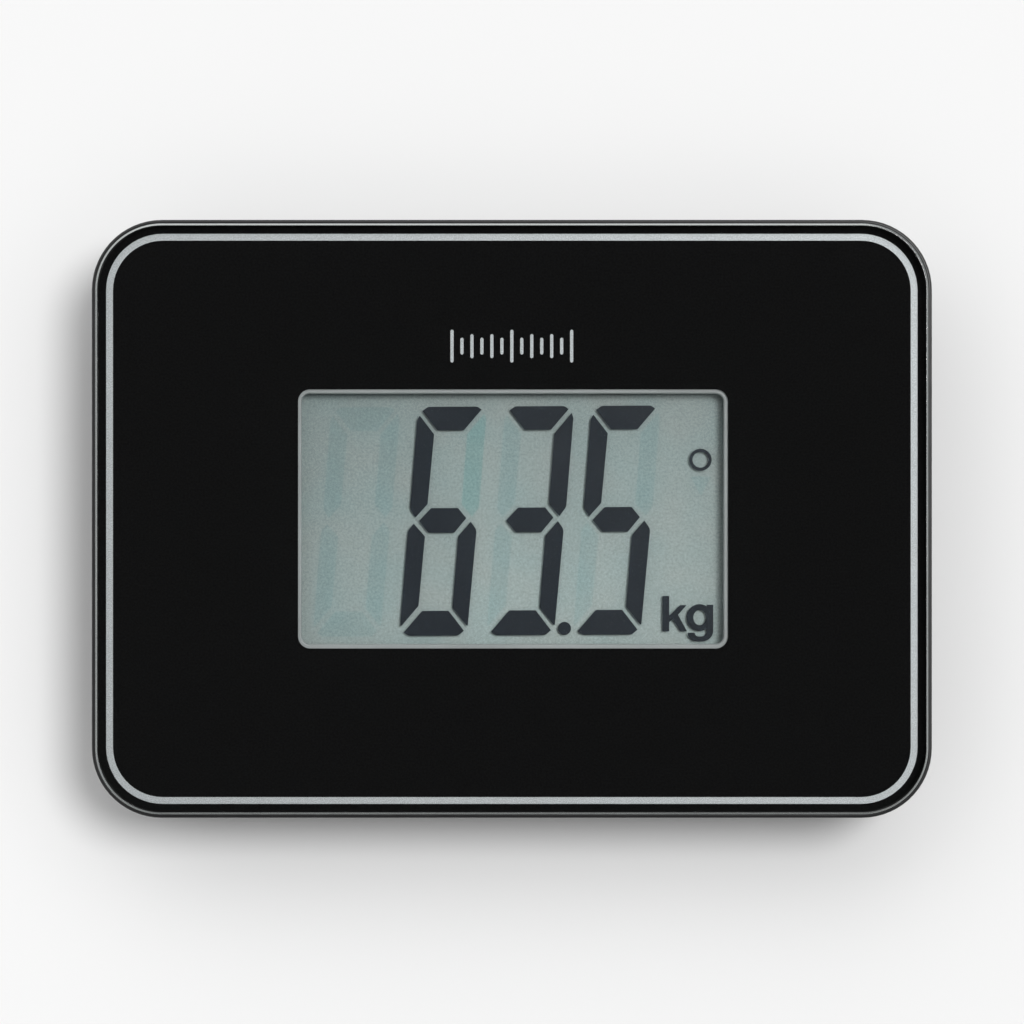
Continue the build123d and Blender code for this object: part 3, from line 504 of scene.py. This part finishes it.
# %% Ground edge, prints and films
def satin(name, colour, rough, grain, depth, speckle, **fixed):
    """A printed or ground face: fine speckles in the colour and a shallow grain."""
    finish = start_finish(name)
    dots = between(finish, cloud(finish, grain, 1.0), 0, 1)
    tone = blend(finish, dots, scaled(colour, 1 - speckle), scaled(colour, 1 + speckle))
    slow = between(finish, cloud(finish, 9.0), rough - 0.03, rough + 0.03)
    shader = {
        "Base Color": tone,
        "Roughness": slow,
        "Normal": dented(finish, dots, depth),
        **fixed,
    }
    return end_finish(finish, add(finish, "BsdfPrincipled", shader))


NO_AIR = {"Specular IOR Level": 0.0}  # under bonded glass there is no second reflection
MIRROR = {"Metallic": 0.8}
FLAKES = {"Metallic": 0.3}
RECIPES = {
    "ground_edge": ((0.41, 0.43, 0.425, 1), 0.20, 0.30, 0.003, 0.10, MIRROR),
    "black_print": ((0.0080, 0.0080, 0.0082, 1), 0.5, 0.50, 0.002, 0.30, NO_AIR),
    "silver_ink": ((0.56, 0.58, 0.60, 1), 0.45, 0.26, 0.006, 0.20, FLAKES),
    "lit_segment": ((0.031, 0.037, 0.050, 1), 0.5, 0.35, 0.002, 0.12, NO_AIR),
}
for name, (*recipe, fixed) in RECIPES.items():
    finishes[name] = satin(name, *recipe, **fixed)
print("print finishes ready")

# %% [markdown]
# ### The display's background
# Behind the rear glass lies a film that throws light back. It is a pearly grey-green, with a
# fine grain of pearl flakes, and faint stains where the liquid crystal layer is a little thicker.
# Its colour is painted slightly lighter towards the reader, a painted pool of light where the film
# gets more light and less of the frame's shade.

# %% Reflector film
def pearl(name):
    """Colour = a painted pool of light: a blend by the distance from a spot in front of the
    reader's edge, where Y counts for 0.7 of its length, times a hue stain of 12 mm, times a grain
    of 0.55 mm."""
    nearest, farthest = 37 * MM, 93 * MM
    finish = start_finish(name)
    where = add(finish, "TexCoord", output="Object")
    spot = {"Vector": where, "Location": (-0.010, 0.056, 0.0), "Scale": (1.0, 0.7, 0.0)}
    offset = add(finish, "Mapping", spot)
    distance = add(finish, "VectorMath", {0: offset}, "Value", operation="LENGTH")
    # painted light and shade: the film is painted lighter near the spot and darker far from it
    painted_light_share = between(finish, distance, 0.0, 1.0, nearest, farthest)
    base = blend(finish, painted_light_share, (0.566, 0.613, 0.636, 1), (0.375, 0.405, 0.423, 1))
    stain = between(finish, cloud(finish, 12.0, 1.0), 0.0, 1.0)
    hue = blend(finish, stain, (0.96, 1.0, 1.0, 1), (1.04, 1.0, 0.985, 1))
    flakes = between(finish, cloud(finish, 0.55, 2.0), 0.0, 1.0)
    grain = blend(finish, flakes, (0.85, 0.86, 0.86, 1), (1.15, 1.14, 1.14, 1))
    pearly = multiply(finish, multiply(finish, base, hue), grain)
    shader = {"Base Color": pearly, "Roughness": between(finish, flakes, 0.45, 0.6)}
    return end_finish(finish, add(finish, "BsdfPrincipled", shader))


finishes["reflector_film"] = pearl("reflector_film")
print("reflector film nodes:", len(finishes["reflector_film"].node_tree.nodes))

# %% [markdown]
# ### Circuit board, label and battery sleeve
# The board is green lacquer over copper tracks, which show as lighter lines. The blank label is
# a silver film with a thin printed border. The cells wear a dark sleeve with a copper end.

# %% Board, label and sleeve
def lacquered_board(name):
    """Copper tracks under green lacquer: brick joints drawn as lighter, raised lines."""
    finish = start_finish(name)
    bricks = {
        "Vector": place(finish),
        "Color1": (0.006, 0.070, 0.026, 1),
        "Color2": (0.008, 0.085, 0.032, 1),
        "Mortar": (0.030, 0.170, 0.070, 1),
        "Scale": 1 / (24 * MM),
        "Mortar Size": 0.012,
        "Brick Width": 0.5,
        "Row Height": 0.07,
    }
    tracks = add(finish, "TexBrick", bricks)
    height = add(finish, "TexBrick", bricks, output="Fac")
    shader = {
        "Base Color": tracks,
        "Roughness": between(finish, cloud(finish, 4.0), 0.25, 0.40),
        "Normal": dented(finish, height, 0.03),
    }
    return end_finish(finish, add(finish, "BsdfPrincipled", shader))


def bordered_label(name, node):
    """Silver film with a dark line a fixed distance inside its edge: the line shows where the
    greater of the two distances to the edges' inset frame is within half a line width."""
    low, high = span(node)
    middle, half = (low + high) / 2 * MM, (high - low) / 2 * MM
    inset, line = 1.6 * MM, 0.35 * MM
    finish = start_finish(name)
    where = add(finish, "TexCoord", output="Object")
    local = add(finish, "VectorMath", {0: where, 1: tuple(middle)}, operation="SUBTRACT")
    size = add(finish, "VectorMath", {0: local}, operation="ABSOLUTE")
    past = add(finish, "VectorMath", {0: size, 1: tuple(half - inset)}, operation="SUBTRACT")
    edge = add(finish, "SeparateXYZ", {"Vector": past})
    edge_y = edge.node.outputs["Y"]
    nearest = add(finish, "Math", {0: edge, 1: edge_y}, operation="MAXIMUM")
    distance = add(finish, "Math", {0: nearest}, operation="ABSOLUTE")
    inked = add(finish, "Math", {0: distance, 1: line / 2}, operation="LESS_THAN")
    film = blend(finish, cloud(finish, 0.4), (0.50, 0.51, 0.52, 1), (0.58, 0.59, 0.60, 1))
    tone = blend(finish, inked, film, (0.03, 0.03, 0.032, 1))
    gloss = between(finish, cloud(finish, 7.0), 0.28, 0.38)
    shader = {"Base Color": tone, "Metallic": 0.35, "Roughness": gloss}
    return end_finish(finish, add(finish, "BsdfPrincipled", shader))


def cell_sleeve(name):
    """A shrunk sleeve: dark over most of the length, copper near the positive end. Which end
    that is comes from a value stored on each point, 0 at the flat end and 1 at the button."""
    dark_to, copper_from = 0.735, 0.745  # as shares of the length
    finish = start_finish(name)
    along = add(finish, "Attribute", output="Fac", attribute_name="along")
    copper = between(finish, along, 0.0, 1.0, dark_to, copper_from)
    dark = blend(finish, cloud(finish, 3.0), (0.010, 0.010, 0.012, 1), (0.014, 0.014, 0.016, 1))
    tone = blend(finish, copper, dark, (0.52, 0.27, 0.13, 1))
    wrinkle = dented(finish, cloud(finish, 1.6, 2.0, (0.3, 1, 1)), 0.02)
    gloss = between(finish, cloud(finish, 2.0), 0.18, 0.26)
    shader = {"Base Color": tone, "Metallic": copper, "Roughness": gloss, "Normal": wrinkle}
    return end_finish(finish, add(finish, "BsdfPrincipled", shader))


finishes["circuit_board"] = lacquered_board("circuit_board")
finishes["label_film"] = bordered_label("label_film", "rating_label")
finishes["battery_sleeve"] = cell_sleeve("battery_sleeve")
print("all finishes:", len(finishes))

# %% [markdown]
# ## The glass platform
# The platform is 4 mm toughened glass with a bevel all round: 45 degrees below, a little flatter
# above. It could be a bevelled box, but the stack gives each bevel's width exactly, with a trace
# of rounding at its edges. The underside sits a hair above the black print, as two faces in one
# plane would flicker. Only the upper bevel keeps the ground edge's finish.

# %% Platform glass
BEVEL = 0.46  # width of both bevels, and height of the lower one
BEVEL_DROP = 0.35  # height of the upper bevel
ARRIS = 0.10  # rounding where the bevel meets the faces
PRINT_GAP = 0.04
CASE_RADIUS = 17.5  # the case's corner, seen from above
FACE_END = 20.0  # where the section's two flat faces stop, well past the bevels
case_high = span("upper_case")[1]
corner_radius = CASE_RADIUS - (case_high[0] - glass_high[0])

glass_section = softened(
    [
        (FACE_END, glass_low[2] + PRINT_GAP),
        (BEVEL, glass_low[2] + PRINT_GAP),
        (0.0, glass_low[2] + BEVEL),
        (0.0, glass_high[2] - BEVEL_DROP),
        (BEVEL, glass_high[2]),
        (FACE_END, glass_high[2]),
    ],
    [0, ARRIS, ARRIS, ARRIS, ARRIS, 0],
)
keep = glass_section[:, 0] < FACE_END / 2
glass_rows = [
    (glass_high[0] - inset, glass_high[1] - inset, corner_radius - inset, height)
    for inset, height in glass_section[keep]
]
platform = make(
    "platform_glass",
    [stack(glass_rows, steps=32)],
    finishes["ground_edge"],
    "case",
    ["glass_platform"],
)
FACES_UP = 0.99  # the upward part of a normal, from here on the face is the top
FACES_OUT = 0.3  # and below this it is a side or the underside
coat(platform, finishes["platform_glass"], lambda centres, normals: normals[:, 2] > FACES_UP)
coat(platform, finishes["bonded_glass"], lambda centres, normals: normals[:, 2] < FACES_OUT)

# %% [markdown]
# ## The display's frame
# A light grey moulding surrounds the display and shows as a narrow line inside the printed
# window. Its inner edge is rolled, which gives the line its soft highlight. The section is an L:
# a top flange, an opening, and a pocket below for the glass. Carried round as a closed ring of
# rounded rectangles, the corners of the opening and of the outside can differ in radius.

# %% Display frame
bezel_low, bezel_high = span("display_bezel")
window_glass_high = span("lcd_front_glass")[1]
polarizer_high = span("lcd_front_polarizer")[1]
FRAME_RADIUS = 1.2
FRAME_EDGE = 0.15  # slope on the frame's outer edge
OPENING = np.array([52.95, 31.4])
OPENING_X = 0.15  # the opening lies this far right of the middle
OPENING_RADIUS = 2.0
POCKET_RADIUS = 0.5
POCKET_GAP = 0.2
ROLL = 0.45  # radius of the rolled inner edge

outer_half = bezel_high[:2]
pocket_half = window_glass_high[:2] + POCKET_GAP
flange_bottom = polarizer_high[2]
roll_turn = np.linspace(0, math.pi / 2, 7)
roll_out = ROLL * (1 - np.sin(roll_turn))[:, None]
roll_down = ROLL * (1 - np.cos(roll_turn))[:, None]
roll_rows = np.hstack([OPENING + roll_out, OPENING_RADIUS + roll_out, bezel_high[2] - roll_down])
outside_rows = [
    (*outer_half, FRAME_RADIUS, bezel_low[2]),
    (*outer_half, FRAME_RADIUS, bezel_high[2] - FRAME_EDGE),
    (*(outer_half - FRAME_EDGE), FRAME_RADIUS - FRAME_EDGE, bezel_high[2]),
]
opening_rows = [*roll_rows, (*OPENING, OPENING_RADIUS, flange_bottom)]
pocket_rows = [
    (*pocket_half, POCKET_RADIUS, flange_bottom),
    (*pocket_half, POCKET_RADIUS, bezel_low[2]),
]
bezel_rows = outside_rows + opening_rows + pocket_rows
in_opening = np.repeat([0, 1, 0], [len(outside_rows), len(opening_rows), len(pocket_rows)])
bezel_centres = np.column_stack([OPENING_X * in_opening, 0 * in_opening])
make(
    "display_frame",
    [stack(bezel_rows, True, bezel_centres)],
    finishes["bezel_plastic"],
    "case",
    ["display_bezel"],
)

# %% [markdown]
# ## The liquid crystal display
# It is a sandwich: polarizer film, front glass, the liquid crystal with its segments, rear
# glass, and a pearly film that reflects. The segments cast a faint shadow on the film a
# millimetre below, and only real layers show that. The layers keep a hair's gap, so that no two
# faces lie in one plane. Glass plates are scribed and snapped, so their edges are nearly sharp.

# %% Display layers
LAYER_GAP = 0.03
CRYSTAL_SPACE = 0.07  # room for the segments between the two glasses
PLATE_RADIUS = 0.5
SNAPPED = 0.05  # the slight slope on a snapped edge


def layer(name, node, finish, trim_low=0.0, trim_high=0.0):
    """A plate that fills a CAD layer's box, less a hair at its top and bottom."""
    low, high = span(node)
    half_x, half_y = (high - low)[:2] / 2
    bottom, top = low[2] + trim_low, high[2] - trim_high
    inner = (half_x - SNAPPED, half_y - SNAPPED, PLATE_RADIUS - SNAPPED)
    outer = (half_x, half_y, PLATE_RADIUS)
    rows = [
        (*inner, bottom),
        (*outer, bottom + SNAPPED),
        (*outer, top - SNAPPED),
        (*inner, top),
    ]
    return make(name, [stack(rows, steps=6)], finish, "case", [node])


bonded = finishes["bonded_glass"]
film = layer("polarizer_layer", "lcd_front_polarizer", bonded, LAYER_GAP)
coat(film, finishes["polarizer_face"], lambda centres, normals: normals[:, 2] > FACES_UP)
layer("front_glass_layer", "lcd_front_glass", bonded, LAYER_GAP)
layer("rear_glass_layer", "lcd_rear_glass", bonded, LAYER_GAP, CRYSTAL_SPACE)
layer("pearl_layer", "lcd_reflector", finishes["reflector_film"])
crystal_level = span("lcd_rear_glass")[1][2]
print("liquid crystal at height", round(crystal_level, 2))

# %% [markdown]
# ## The digits
# Each digit is seven electrodes, with outer corners rounded and the ends cut at a slant where
# they meet. The whole digit leans to the right by shearing: x grows with y. Drawing them
# with a font would lose those cuts, so every segment is an outline of its own, softened at the
# corners, and made a thin film between the two glasses.

# %% Segment outlines
LEAN = 0.083  # how far x moves for each step in y
TURN = 0.006  # the panel is set a trifle askew in its frame
RISE = 1.0078  # the film lies deep below the glass face, so it is drawn this much larger
FILM_LOW = crystal_level - 0.045
FILM_HIGH = crystal_level - 0.015
DIGIT_Y = -0.51

# Corners in mm from the digit's middle before it leans, and the radius of each corner.
SEGMENTS = {
    "top": (
        [(-3.3, 22.7), (3.3, 22.7), (7.3, 27.85), (6.1, 28.6), (-6.1, 28.6), (-7.45, 27.6)],
        [0.12, 0.12, 0.12, 1.2, 1.2, 0.12],
    ),
    "bottom": (
        [
            (-3.4, -22.35), (-7.55, -27.7), (-6.1, -28.55),
            (6.1, -28.55), (7.45, -27.35), (3.2, -22.35),
        ],
        [0.12, 0.12, 1.2, 1.2, 0.12, 0.12],
    ),
    "upper_left": (
        [(-8.07, 26.45), (-8.58, 25.2), (-8.52, 3.2), (-7.0, 0.97), (-4.25, 4.3), (-4.05, 21.75)],
        [0.12, 1.2, 2.2, 0.12, 0.2, 0.2],
    ),
    "upper_right": (
        [(8.1, 26.9), (4.2, 21.7), (4.3, 4.2), (7.15, 1.1), (8.7, 3.4), (8.65, 25.6)],
        [0.12, 0.2, 0.2, 0.12, 2.2, 1.2],
    ),
    "lower_left": (
        [(-7.3, -0.53), (-8.6, -2.3), (-8.6, -26.5), (-4.4, -21.1), (-4.22, -3.75)],
        [0.12, 2.0, 0.2, 0.2, 0.2],
    ),
    "lower_right": (
        [(6.9, -0.1), (4.1, -3.72), (4.1, -21.6), (8.3, -26.4), (8.53, -2.2)],
        [0.12, 0.2, 0.2, 0.2, 2.2],
    ),
    "middle": (
        [(-6.05, 0.1), (-3.4, -2.88), (3.0, -2.88), (5.72, 0.75), (3.45, 3.31), (-3.3, 3.31)],
        0.12,
    ),
}


def segment(name, digit_x):
    """One segment's film: softened, leaned by x + LEAN y, moved to its digit, turned a trifle
    by y + TURN x, and scaled."""
    outline = softened(*SEGMENTS[name])
    outline[:, 0] += LEAN * outline[:, 1] + digit_x
    outline[:, 1] += DIGIT_Y + TURN * outline[:, 0]
    return flat_plate(outline * RISE, FILM_LOW, FILM_HIGH)


DIGITS = {-38.8: "", -17.15: "6", 4.6: "3", 26.2: "5"}  # middle of each digit, in mm
LIT = {
    "": set(),
    "6": set(SEGMENTS) - {"upper_right"},
    "3": {"top", "upper_right", "middle", "lower_right", "bottom"},
    "5": {"top", "upper_left", "middle", "lower_right", "bottom"},
}
lit_parts, faded_parts, fading_parts = [], [], []
for digit_x, digit in DIGITS.items():
    for name in SEGMENTS:
        if name in LIT[digit]:
            lit_parts.append(segment(name, digit_x))
        elif digit == "6":
            fading_parts.append(segment(name, digit_x))
        elif digit or name != "middle":  # the blank digit's middle has faded away
            faded_parts.append(segment(name, digit_x))
print(len(lit_parts), "segments lit,", len(faded_parts) + len(fading_parts), "unlit")

# %% [markdown]
# ## The unit and the small signs
# The unit is set in plain upright letters of even stroke. The bowl of the second letter is a
# ring cut off flat where it meets the stem, and its tail is a bent bar. A small ring shows that
# the reading has settled.

# %% Unit letters, dot and ring
def circle(centre, radius_x, radius_y, steps=64):
    """An ellipse: centre plus radii times the cosine and sine of the angle."""
    angle = np.linspace(0, 2 * math.pi, steps, endpoint=False)
    return np.array(centre) + np.column_stack([radius_x * np.cos(angle), radius_y * np.sin(angle)])


LETTER_K = np.array(
    [
        (0, 0), (1.7, 0), (1.7, 2.3), (2.5, 3.05), (4.5, 0), (6.15, 0),
        (3.9, 4.15), (6.05, 6.55), (4.4, 6.55), (1.7, 3.9), (1.7, 8.85), (0, 8.85),
    ]
) + (37.6, -28.1)
STEM_LEFT, STEM_RIGHT = 48.6, 50.3
LETTER_TAIL = [
    (STEM_LEFT, -21.45),
    (STEM_LEFT, -29.35),
    (45.75, -29.35),
    (45.65, -28.4),
    (43.9, -28.45),
    (44.0, -30.55),
    (STEM_RIGHT, -30.55),
    (STEM_RIGHT, -21.45),
]
tail_radii = [0.1, 1.3, 0.9, 0.08, 0.1, 2.1, 2.6, 0.1]
bowl_outer = circle((46.85, -24.65), 3.25, 3.35)
bowl_inner = circle((46.9, -24.65), 1.58, 1.9)
HAIR = 0.005  # keeps the bowl and the stem out of one plane
bowl_outer[:, 0] = np.minimum(bowl_outer[:, 0], STEM_LEFT - HAIR)
ring_centre = (47.1, 14.75)
ring_outer = circle(ring_centre, 2.78, 2.75)
ring_inner = circle(ring_centre, 2.0, 1.95)
dot = circle((13.15, -27.35), 1.63, 1.63)

signs = [
    flat_plate(softened(LETTER_K, 0.08, 3) * RISE, FILM_LOW, FILM_HIGH),
    flat_plate(softened(LETTER_TAIL, tail_radii) * RISE, FILM_LOW, FILM_HIGH),
    flat_ring(bowl_outer * RISE, bowl_inner * RISE, FILM_LOW, FILM_HIGH),
    flat_plate(dot * RISE, FILM_LOW, FILM_HIGH),
    flat_ring(ring_outer * RISE, ring_inner * RISE, FILM_LOW, FILM_HIGH),
]
make("lit_segments", lit_parts + signs, finishes["lit_segment"], "case")

small_triangle = [(44.6, 10.6), (47.2, 5.6), (49.8, 10.6)]
faded_parts.append(flat_plate(softened(small_triangle, 0.3) * RISE, FILM_LOW, FILM_HIGH))
make("unlit_segments", faded_parts, finishes["unlit_segment"], "case")
make("fading_segment", fading_parts, finishes["fading_segment"], "case")

# %% [markdown]
# ## The mouldings
# The case, the cover, the battery door and the selector come from CAD with all their ribs,
# rounded edges and slots. Only their shading needs help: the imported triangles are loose, so each
# gets a merged copy. The same goes for the screws, contacts, leads and sealant inside.

# %% Refined copies
CORNERS = ("rear_left", "rear_right", "front_left", "front_right")
REFINED = {
    "upper_case": "case_plastic",
    "bottom_cover": "cover_plastic",
    "battery_door": "cover_plastic",
    "unit_knob": "knob_plastic",
    "cover_screws": "bright_steel",
    "board_screws": "bright_steel",
    "retainer_screws": "bright_steel",
    "controller_chip": "chip_resin",
    "board_crystal": "bright_steel",
    "contact_link": "nickel_plate",
    "contact_positive": "nickel_plate",
    "contact_negative": "nickel_plate",
    "battery_lead_positive": "red_insulation",
    "battery_lead_negative": "black_insulation",
}
for corner in CORNERS:
    REFINED["gauge_sealant_" + corner] = "white_sealant"
    REFINED["cell_lead_" + corner] = "grey_insulation"
for node, slot in REFINED.items():
    refine(node, node + "_smooth", finishes[slot])
print("refined copies:", len(REFINED))

# %% [markdown]
# ## Flat parts that stay as they are
# Prints, tapes, plates and blocks have flat faces, so the CAD meshes already look right, and
# they only take a finish.

# %% Finishes on the frame's own parts
KEPT = {
    "back_print": "black_print",
    "silver_stripe": "silver_ink",
    "graduation_mark": "silver_ink",
    "platform_tape": "foam_tape",
    "bezel_gasket": "foam_tape",
    "connector_strip_rear": "connector_rubber",
    "connector_strip_front": "connector_rubber",
    "main_board": "circuit_board",
    "board_capacitors": "ceramic_tan",
    "lead_sockets": "socket_nylon",
    "rating_label": "label_film",
    "unit_switch": "switch_plastic",
    "unit_switch_lever": "switch_plastic",
}
for corner in CORNERS:
    KEPT["load_cell_" + corner] = "cell_steel"
    KEPT["cell_retainer_" + corner] = "retainer_plastic"
for node, slot in KEPT.items():
    part = frame["nodes"][node]
    part.data.materials.clear()
    part.data.materials.append(finishes[slot])
    part.data.polygons.foreach_set("material_index", np.zeros(len(part.data.polygons), np.int32))
print("CAD parts with a finish:", len(KEPT))

# %% [markdown]
# ## Feet and pads
# A foot is turned in section: a disc that reaches through the cover, a flange that keeps it in,
# and a post with a domed tip that presses on the load cell. The rubber pad has ring grooves,
# so that it grips wet tiles. Both are a profile carried round an upright axis.

# %% Feet
foot_low, foot_high = span("foot_rear_left")
DISC_RADIUS, FLANGE_RADIUS = 12.5, 14.5
POST_RADIUS, DOME_RADIUS, DOME_RISE = 4.5, 6.0, 1.0
pad_low, pad_high = span("foot_pad_rear_left")
pad_radius = (pad_high[0] - pad_low[0]) / 2
seat_radius = pad_radius + 0.1  # the pad lies loosely in its seat
FLANGE_LOW, FLANGE_HIGH = 7.2, 8.6
dome_base = foot_high[2] - DOME_RISE
dome_angle = np.linspace(math.acos((DOME_RADIUS - DOME_RISE) / DOME_RADIUS), 0, 8)
dome = np.column_stack(
    [DOME_RADIUS * np.sin(dome_angle), foot_high[2] - DOME_RADIUS * (1 - np.cos(dome_angle))]
)
foot_section = softened(
    [
        (0, pad_high[2]),
        (seat_radius, pad_high[2]),
        (seat_radius, foot_low[2]),
        (DISC_RADIUS, foot_low[2]),
        (DISC_RADIUS, FLANGE_LOW),
        (FLANGE_RADIUS, FLANGE_LOW),
        (FLANGE_RADIUS, FLANGE_HIGH),
        (POST_RADIUS, FLANGE_HIGH),
        (POST_RADIUS, dome_base),
        (dome[0, 0], dome_base),
    ],
    [0, 0, 0.12, 0.8, 0.1, 0.2, 0.2, 0.3, 0.25, 0],
)
foot_section = np.concatenate([foot_section, dome])

groove = np.array([(-0.55, 0.0), (-0.35, 0.45), (0.35, 0.45), (0.55, 0.0)])
grooves = np.concatenate([groove + (radius, 0) for radius in (2.6, 5.0, 7.4)])
pad_section = np.concatenate(
    [
        [(0.0, 0.0)],
        grooves,
        softened(
            [(9.2, 0.0), (pad_radius, 0.0), (pad_radius, pad_high[2]), (0.0, pad_high[2])],
            [0, 0.55, 0.05, 0],
        ),
    ]
)
for corner in CORNERS:
    low, high = span("foot_" + corner)
    centre = ((low + high) / 2)[:2]
    body = "foot_" + corner  # the body has the same name as the part
    make(
        "foot_disc_" + corner,
        [turned(foot_section, centre)],
        finishes["foot_plastic"],
        body,
        ["foot_" + corner],
    )
    make(
        "grip_pad_" + corner,
        [turned(pad_section, centre)],
        finishes["pad_rubber"],
        body,
        ["foot_pad_" + corner],
    )

# %% [markdown]
# ## Batteries
# An AAA cell is a steel can in a shrunk plastic sleeve, which folds over both ends. The button
# stands on the positive end. The section is turned round the cell's long axis, and each point
# keeps how far along it lies, so that the sleeve's colours follow the cell whichever way it lies.

# %% Cells
CELL_SECTION = softened(
    [
        (0, 0.25), (3.7, 0.25), (3.9, 0.0), (4.7, 0.0), (5.25, 0.0), (5.25, 43.5),
        (4.3, 43.5), (4.2, 43.2), (1.9, 43.2), (1.9, 44.5), (0, 44.5),
    ],
    [0, 0.05, 0.05, 0, 0.45, 0.45, 0.05, 0.05, 0.1, 0.35, 0],
    5,
)
BARE_RADIUS = 4.25  # the sleeve's fold leaves the end bare up to here


def lay_down(node, name, button_side):
    """A turned cell laid along X: its height becomes x, from the flat end to the button."""
    low, high = span(node)
    middle = (low + high) / 2
    points, faces = turned(CELL_SECTION, (0, 0), 64)
    along = points[:, 2].copy()
    flat_end = low[0] if button_side > 0 else high[0]
    laid = np.column_stack(
        [flat_end + button_side * along, middle[1] + points[:, 0], middle[2] + points[:, 1]]
    )
    cell = make(name, [(laid, faces)], finishes["battery_sleeve"], "case", [node])
    count = len(cell.data.vertices)
    where = np.empty(count * 3)
    cell.data.vertices.foreach_get("co", where)
    share = np.abs(where[::3] / MM - flat_end) / CELL_SECTION[:, 1].max()
    stored = cell.data.attributes.new("along", "FLOAT", "POINT")
    stored.data.foreach_set("value", share.astype(np.float32))

    def bare_end(centres, normals):
        """The faces of the steel ends, which lie inside the sleeve's fold."""
        off_axis = np.hypot(centres[:, 1] - middle[1], centres[:, 2] - middle[2])
        return off_axis < BARE_RADIUS

    coat(cell, finishes["nickel_plate"], bare_end)


lay_down("battery_rear", "cell_rear", 1)
lay_down("battery_front", "cell_front", -1)

# %% [markdown]
# ## Floor, light and camera
# The floor is plain and pale. One large soft lamp stands to the upper right, so the shadow
# falls to the lower left with a wide soft edge. A sun lamp with a wide disc gives the same light
# as a softbox far away, and lights the floor evenly. The sky is brightest in a belt half way up
# and dark overhead, so that the glass, seen from above, has nothing bright to reflect. The far
# side of the room is the brighter one, which lights the far bevel of the glass. A dark screen at
# the far right leaves that corner's bevel black, so that the edge shows its shape. Lowest of all
# is an even pale band, like the cove of a studio, which softens the floor's end in low views.

# %% Floor
def floor_paper(name):
    """Matt paper with a very slight cloud in its tone."""
    finish = start_finish(name)
    tone = blend(finish, cloud(finish, 300.0), (0.785, 0.785, 0.785, 1), (0.795, 0.795, 0.795, 1))
    shader = {"Base Color": tone, "Roughness": 0.9, "Specular IOR Level": 0.1}
    return end_finish(finish, add(finish, "BsdfPrincipled", shader))


FLOOR_HALF = 30.0  # metres
sheet = bpy.data.meshes.new("floor")
ways = ((-1, -1), (1, -1), (1, 1), (-1, 1))
sheet.from_pydata([(x * FLOOR_HALF, y * FLOOR_HALF, 0) for x, y in ways], [], [(0, 1, 2, 3)])
sheet.materials.append(floor_paper("floor_paper"))
floor = bpy.data.objects.new("floor", sheet)
bpy.context.scene.collection.objects.link(floor)
print("floor of", 2 * FLOOR_HALF, "m across")

# %% Sky
COVE_TOP, ROOM_FROM = 0.075, 0.11  # sine of the height above the horizon
SKY = [
    (0.0, 0.93), (COVE_TOP, 0.93), (ROOM_FROM, 0.60), (0.25, 0.48), (0.45, 0.50), (0.60, 1.02),
    (0.82, 1.02), (0.90, 0.40), (0.945, 0.05), (1.0, 0.02),
]
FAR_LIFT, FAR_CURVE = 1.05, 0.40  # far side = 1 + 1.05 + 0.40, near side = 1 - 1.05 + 0.40
SCREEN_HEADING = math.radians(42)  # from +X towards +Y
SCREEN_EDGE, SCREEN_CORE = 0.72, 0.93  # cosines of the angle from that heading
SCREEN_LEVEL = 0.05
world = bpy.data.worlds.new("studio")
world.use_nodes = True
world.node_tree.nodes.clear()
direction = add(world, "TexCoord", output="Generated")
far = add(world, "SeparateXYZ", {"Vector": direction}, "Y")
height = far.node.outputs["Z"]
ramp = add(world, "ValToRGB", {0: height})
stops = ramp.node.color_ramp.elements
while len(stops) < len(SKY):
    stops.new(0.5)
for stop, (at, level) in zip(stops, SKY):
    stop.position = at
    stop.color = (level, level, level, 1)
curve = add(world, "Math", {0: far, 1: FAR_CURVE, 2: FAR_LIFT}, operation="MULTIPLY_ADD")
side = add(world, "Math", {0: curve, 1: far, 2: 1.0}, operation="MULTIPLY_ADD")
screen_way = (math.cos(SCREEN_HEADING), math.sin(SCREEN_HEADING), 0.0)
toward = add(world, "VectorMath", {0: direction, 1: screen_way}, "Value", operation="DOT_PRODUCT")
screened = between(world, toward, 1.0, SCREEN_LEVEL, SCREEN_EDGE, SCREEN_CORE)
strength = add(world, "Math", {0: side, 1: screened}, operation="MULTIPLY")
above_cove = between(world, height, 0.0, 1.0, COVE_TOP, ROOM_FROM)
evened = add(world, "Mix", {0: above_cove, 2: 1.0, 3: strength})
glow = add(world, "Background", {"Color": ramp, "Strength": evened})
add(world, "OutputWorld", {"Surface": glow})
bpy.context.scene.world = world
print("sky stops:", [(round(math.degrees(math.asin(at))), level) for at, level in SKY])

# %% Key lamp
KEY_TILT = math.radians(23)  # away from straight down
KEY_HEADING = math.radians(33)  # from +X towards +Y
key_direction = Vector(
    (
        math.sin(KEY_TILT) * math.cos(KEY_HEADING),
        math.sin(KEY_TILT) * math.sin(KEY_HEADING),
        math.cos(KEY_TILT),
    )
)
key_light = bpy.data.lights.new("key", "SUN")
key_light.energy = 1.72
key_light.angle = math.radians(22)
key = bpy.data.objects.new("key", key_light)
key.location = key_direction
key.rotation_euler = key_direction.to_track_quat("Z", "Y").to_euler()
bpy.context.scene.collection.objects.link(key)
print("key light from", [round(c, 2) for c in key_direction])

# %% Camera
VIEW_DISTANCE = 1.0  # metres above the glass
VIEW_X, VIEW_Y = 0.00004, 0.00172
camera_data = bpy.data.cameras.new("above")
camera_data.sensor_width = 36.0
camera_data.lens = 140.8
camera_data.clip_start = 0.01
camera = bpy.data.objects.new("above", camera_data)
camera.location = (VIEW_X, VIEW_Y, cad_box[1].z + VIEW_DISTANCE)
bpy.context.scene.collection.objects.link(camera)
bpy.context.scene.camera = camera
bpy.context.scene.view_settings.view_transform = "Standard"
bpy.context.scene.cycles.transparent_max_bounces = 32
print("camera at", [round(c, 4) for c in camera.location])
